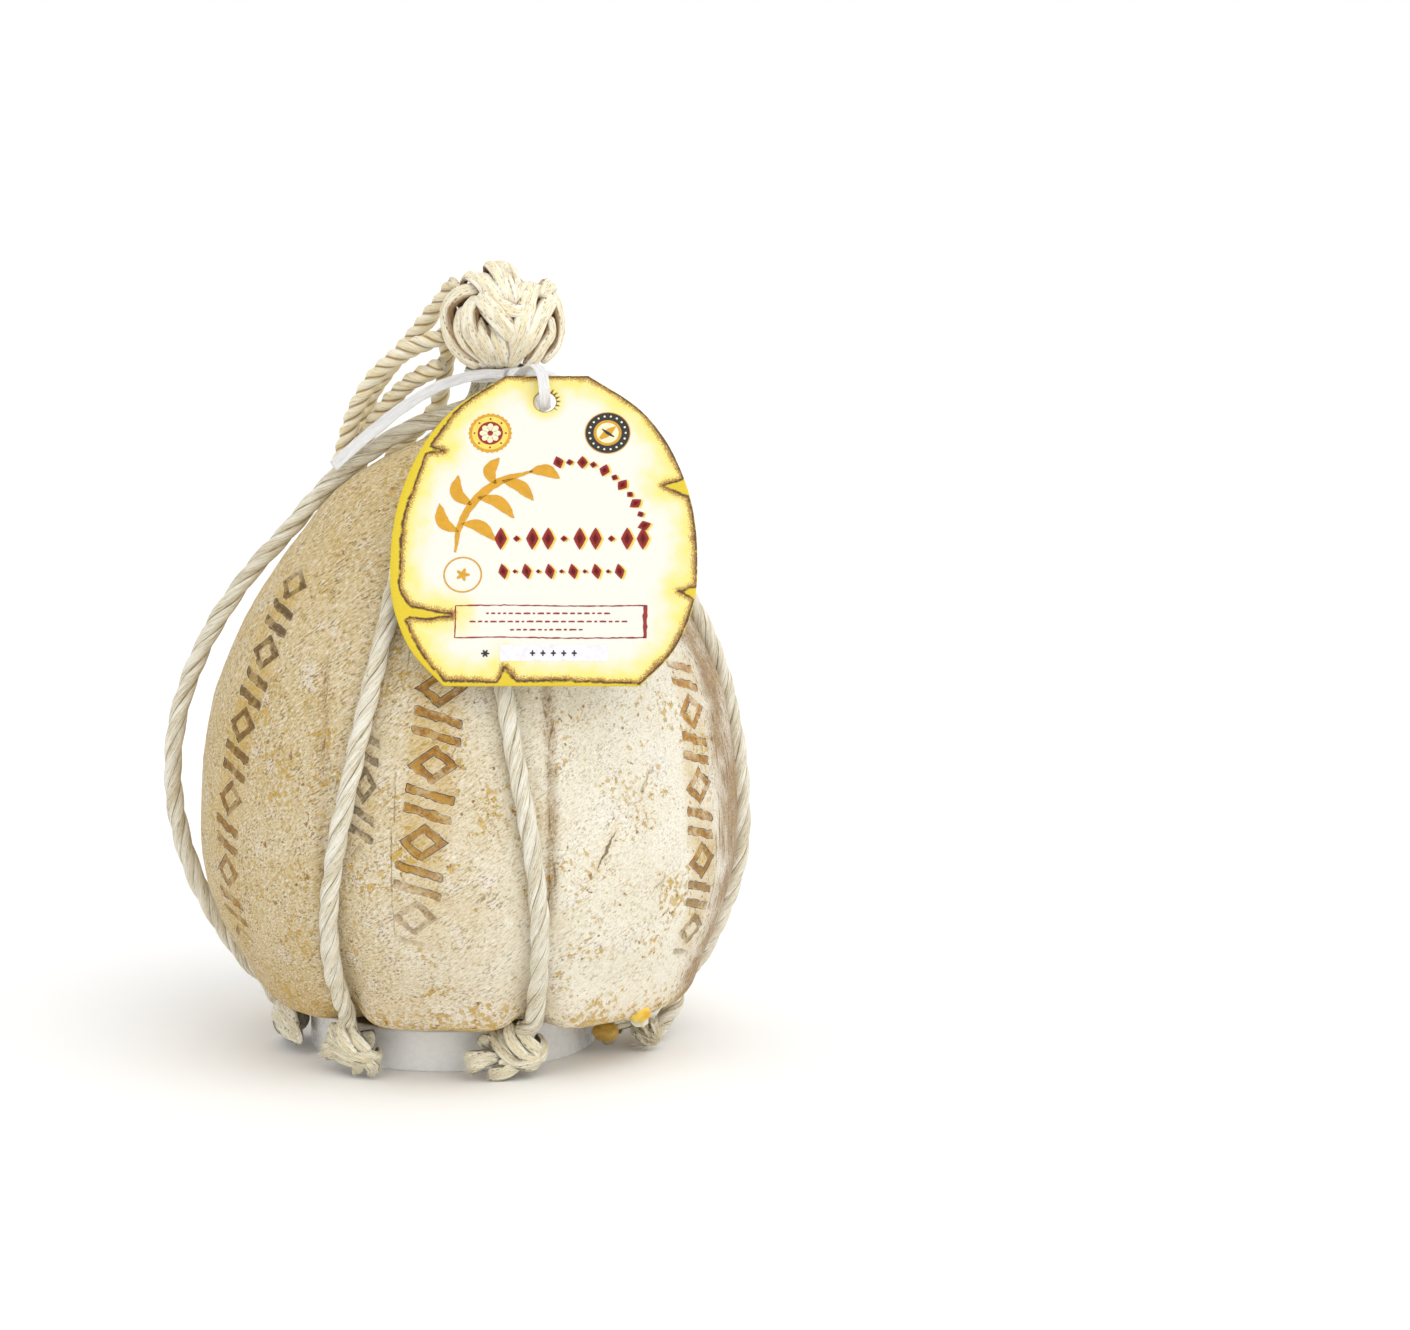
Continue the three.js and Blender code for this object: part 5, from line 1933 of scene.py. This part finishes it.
@dataclass
class Print:
    """Ornaments printed on the card: thin inks that lie just above its face."""

    card: Card
    layers: dict[str, list[Shell]] = field(default_factory=dict)

    def add(self, ink: str, flat: Array, wrap: bool = False, height: float = INK_MID) -> None:
        """Lays a grid of points on the card in one ink; wrap closes its rows."""
        raised = np.concatenate([flat, np.full((*flat.shape[:2], 1), self.card.thick + height)], -1)
        self.layers.setdefault(ink, []).append(Shell.of_grid(self.card.placed(raised), {}, wrap, False))

    def stroke(self, ink: str, points: Sequence[Sequence[float]], half: Sequence[float],
               height: float = INK_MID, shake: float = 0.0) -> None:
        """Brush stroke along a smooth line.

        Args:
            ink: Name of the ink.
            points: Its route across and up.
            half: Half widths at even steps along it.
            height: Distance over the card's face.
            shake: Height of the unevenness of its sides.
        """
        line = curve([(x, y, 0) for x, y in points], 0.4)
        way = unit(np.gradient(line, axis=0))
        aside = np.stack([-way[:, 1], way[:, 0]], -1)
        wide = along(half, np.linspace(0, 1, len(line)))
        left = wide + shake * noise(line, 1.2, 3)
        right = wide + shake * noise(line, 1.2, 4)
        flat = line[:, :2]
        rows = np.stack([flat + aside * left[:, None], flat - aside * right[:, None]])
        self.add(ink, rows[::-1], False, height)

    def disc(self, ink: str, middle: Sequence[float], inner: float, outer: float, lobes: int = 0,
             bulge: float = 0.0, height: float = INK_MID, squash: float = 1.0, turn: float = 0.0) -> None:
        """Ring or disc whose edge may be scalloped.

        Args:
            ink: Name of the ink.
            middle: Its middle.
            inner: Inner radius.
            outer: Outer radius.
            lobes: Number of scallops.
            bulge: Height of the scallops.
            height: Distance over the card's face.
            squash: Width as a share of its height.
            turn: Turn in degrees.
        """
        angle = round_turn(72)
        reach = outer + bulge * np.cos(lobes * angle)
        radii = np.stack([np.full_like(angle, max(inner, 0.01)), reach])
        x, y = radii * np.cos(angle) * squash, radii * np.sin(angle)
        self.add(ink, spun(x, y, turn, middle), True, height)

    def lozenge(self, middle: Sequence[float], wide: float, high: float, turn: float = 0.0) -> None:
        """Red lozenge with a yellow echo beside it.

        Args:
            middle: Its middle.
            wide: Its width.
            high: Its height.
            turn: Turn in degrees.
        """
        corner = round_turn(24)
        reach = (np.abs(np.cos(corner)) + np.abs(np.sin(corner))) ** -0.8
        x, y = wide / 2 * reach * np.cos(corner), high / 2 * reach * np.sin(corner)
        for ink, offset, height in (("yellow", 0.7, INK_LOW), ("red", 0.0, INK_RED)):
            edge = spun(x, y, turn, (middle[0] + offset, middle[1] - offset * 0.3))
            rows = np.stack([np.broadcast_to(edge.mean(0), edge.shape), edge])
            self.add(ink, rows, True, height)

    def build(self) -> None:
        """Draws all the ornaments and makes one piece per ink."""
        self.seals()
        self.branch()
        self.garland()
        self.rows()
        self.frame()
        for ink, shells in self.layers.items():
            finish = Plain("ink_" + ink, INKS[ink], tuple(int(c * 0.94) for c in INKS[ink]), 0.4, 600, 0.01)
            Shell.joined(shells).piece("tag_ink_" + ink, finish.material(), Slot.CARD)

    def seals(self) -> None:
        """Two round seals near the top: a scalloped flower and a plain ringed one."""
        left, right = (-17.5, 84.5), (19.3, 84.6)
        self.disc("ochre", left, 0, 6.7, 26, 0.25, INK_LOW)
        self.disc("yellow", left, 4.0, 5.7)
        self.disc("red", left, 0, 3.9)
        for turn in range(0, 360, 45):
            petal, dot = (spun(reach, 0.0, turn, left) for reach in (2.1, 4.9))
            self.disc("cream", petal, 0, 0.95, height=INK_TOP, squash=1.3, turn=turn)
            self.disc("red", dot, 0, 0.32, height=INK_TOP)
        self.disc("ochre", right, 0, 7.2, height=INK_LOW)
        for ink, inner, outer in (("dark", 4.4, 6.9), ("ochre", 3.6, 4.2), ("cream", 0, 3.5)):
            self.disc(ink, right, inner, outer)
        for turn in range(0, 360, 20):
            self.disc("cream", spun(5.7, 0.0, turn, right), 0, 0.34, height=INK_TOP)
        self.stroke("ochre", ((16.9, 82.6), (19, 84.3), (21.8, 86.8)), (0.5, 1.2, 0.2), INK_TOP)
        self.stroke("dark", ((17.6, 85.9), (19.2, 84.6), (21.4, 83.2)), (0.15, 0.5, 0.15), INK_CROSS)

    def branch(self) -> None:
        """Ochre branch with long leaves on the left."""
        self.stroke("ochre", ((-27.5, 44), (-26.5, 52), (-22.5, 60.5), (-15, 67.5), (-4, 71.5)),
                    (0.35, 1.0, 1.3, 1.2, 0.3), shake=0.15)
        leaves = (((-26.6, 51), (-31.5, 54), (-32.8, 60.5)), ((-25.8, 53.5), (-20.5, 53), (-15, 48)),
                  ((-22.8, 60), (-27.5, 64), (-27.2, 70)), ((-21, 62.5), (-14.5, 61), (-9.5, 55.5)),
                  ((-15.5, 67), (-17.5, 71.5), (-14.5, 76)), ((-13.5, 68.2), (-8, 66.5), (-3.5, 61.5)),
                  ((-5, 71.2), (0, 71.8), (4.5, 69)))
        for leaf in leaves:
            self.stroke("ochre", leaf, (0.25, 1.5, 2.0, 1.5, 0.15), shake=0.15)

    def garland(self) -> None:
        """Arc of small red lozenges that hangs to the right."""
        t = np.linspace(0, 1, 11)
        line = curve(((4, 74.5, 0), (14, 74, 0), (22.5, 68.5, 0), (28.5, 60, 0), (31, 53, 0)), 0.5)
        steps = (t * (len(line) - 1)).astype(int)
        for k, step in enumerate(steps):
            self.lozenge(line[step][:2], 2.3 if k % 2 else 3.4, 2.3 if k % 2 else 4.4, 18 - 9 * k)

    def rows(self) -> None:
        """Two bands of red lozenges and dots, and a thin ring at their left."""
        bands = (((-13.5, 48.6), 4.9, 10, (1, 4, 7), 2.2, (3.9, 7.6), 0),
                 ((-12.5, 37.6), 3.6, 11, (1, 3, 5, 7, 9), 1.5, (3.1, 5.4), 12))
        for (x, y), step, count, dots, dot, lozenge, turn in bands:
            for k in range(count):
                if k in dots:
                    self.lozenge((x + step * k, y), dot, dot)
                else:
                    self.lozenge((x + step * k, y), *lozenge, turn)
        self.disc("ochre", (-25, 36.5), 5.5, 6.0)
        self.disc("ochre", (-25, 36.5), 0, 1.6, 5, 0.6)

    def frame(self) -> None:
        """Uneven red frame round rows of fine dashes, and a pale strip under it."""
        x0, x1, y0, y1 = -27, 31.5, 15.6, 26.2
        for y in (y0, y1):
            self.stroke("red", ((x0, y), (-10, y + 0.15), (8, y - 0.15), (x1, y)), (0.17, 0.2), shake=0.12)
        self.stroke("red", ((x0, y0), (x0 + 0.1, 21), (x0, y1)), (0.18, 0.18), shake=0.12)
        self.stroke("red", ((x1, y0 - 0.2), (x1 - 0.1, 21), (x1, y1 + 0.2)), (0.55, 0.65, 0.55), shake=0.2)
        for k, (y, reach) in enumerate(((23.6, 19.5), (20.9, 24.5), (18.2, 12.0))):
            at = 2 - reach
            while at < reach:
                size = 0.7 + 1.5 * float(scatter(np.array([[int(at * 10), k, 0]]), 9)[0])
                dash = ((at, y), (at + size / 2, y + 0.05), (at + size, y))
                self.stroke("red", dash, (0.22, 0.28, 0.22), shake=0.06)
                at += size + 0.75
        self.add("lilac", np.array([[(-13, 8), (20, 8)], [(-13, 13.2), (20, 13.2)]])[::-1], height=INK_STRIP)
        for k in range(5):
            self.disc("dark", (-3 + 3.2 * k, 10.5), 0, 0.75, 4, 0.3, squash=0.8)
        self.disc("dark", (-17.5, 10.4), 0, 1.0, 6, 0.35)


def main() -> None:
    """Builds every piece in order."""
    logging.basicConfig(level=logging.INFO, format="%(message)s")
    Studio().build()
    Harness().build()
    TagString().build()
    Cheese().build()
    Ring().build()
    Knots().build()
    Card().build()
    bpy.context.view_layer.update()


if __name__ == "__main__":
    main()
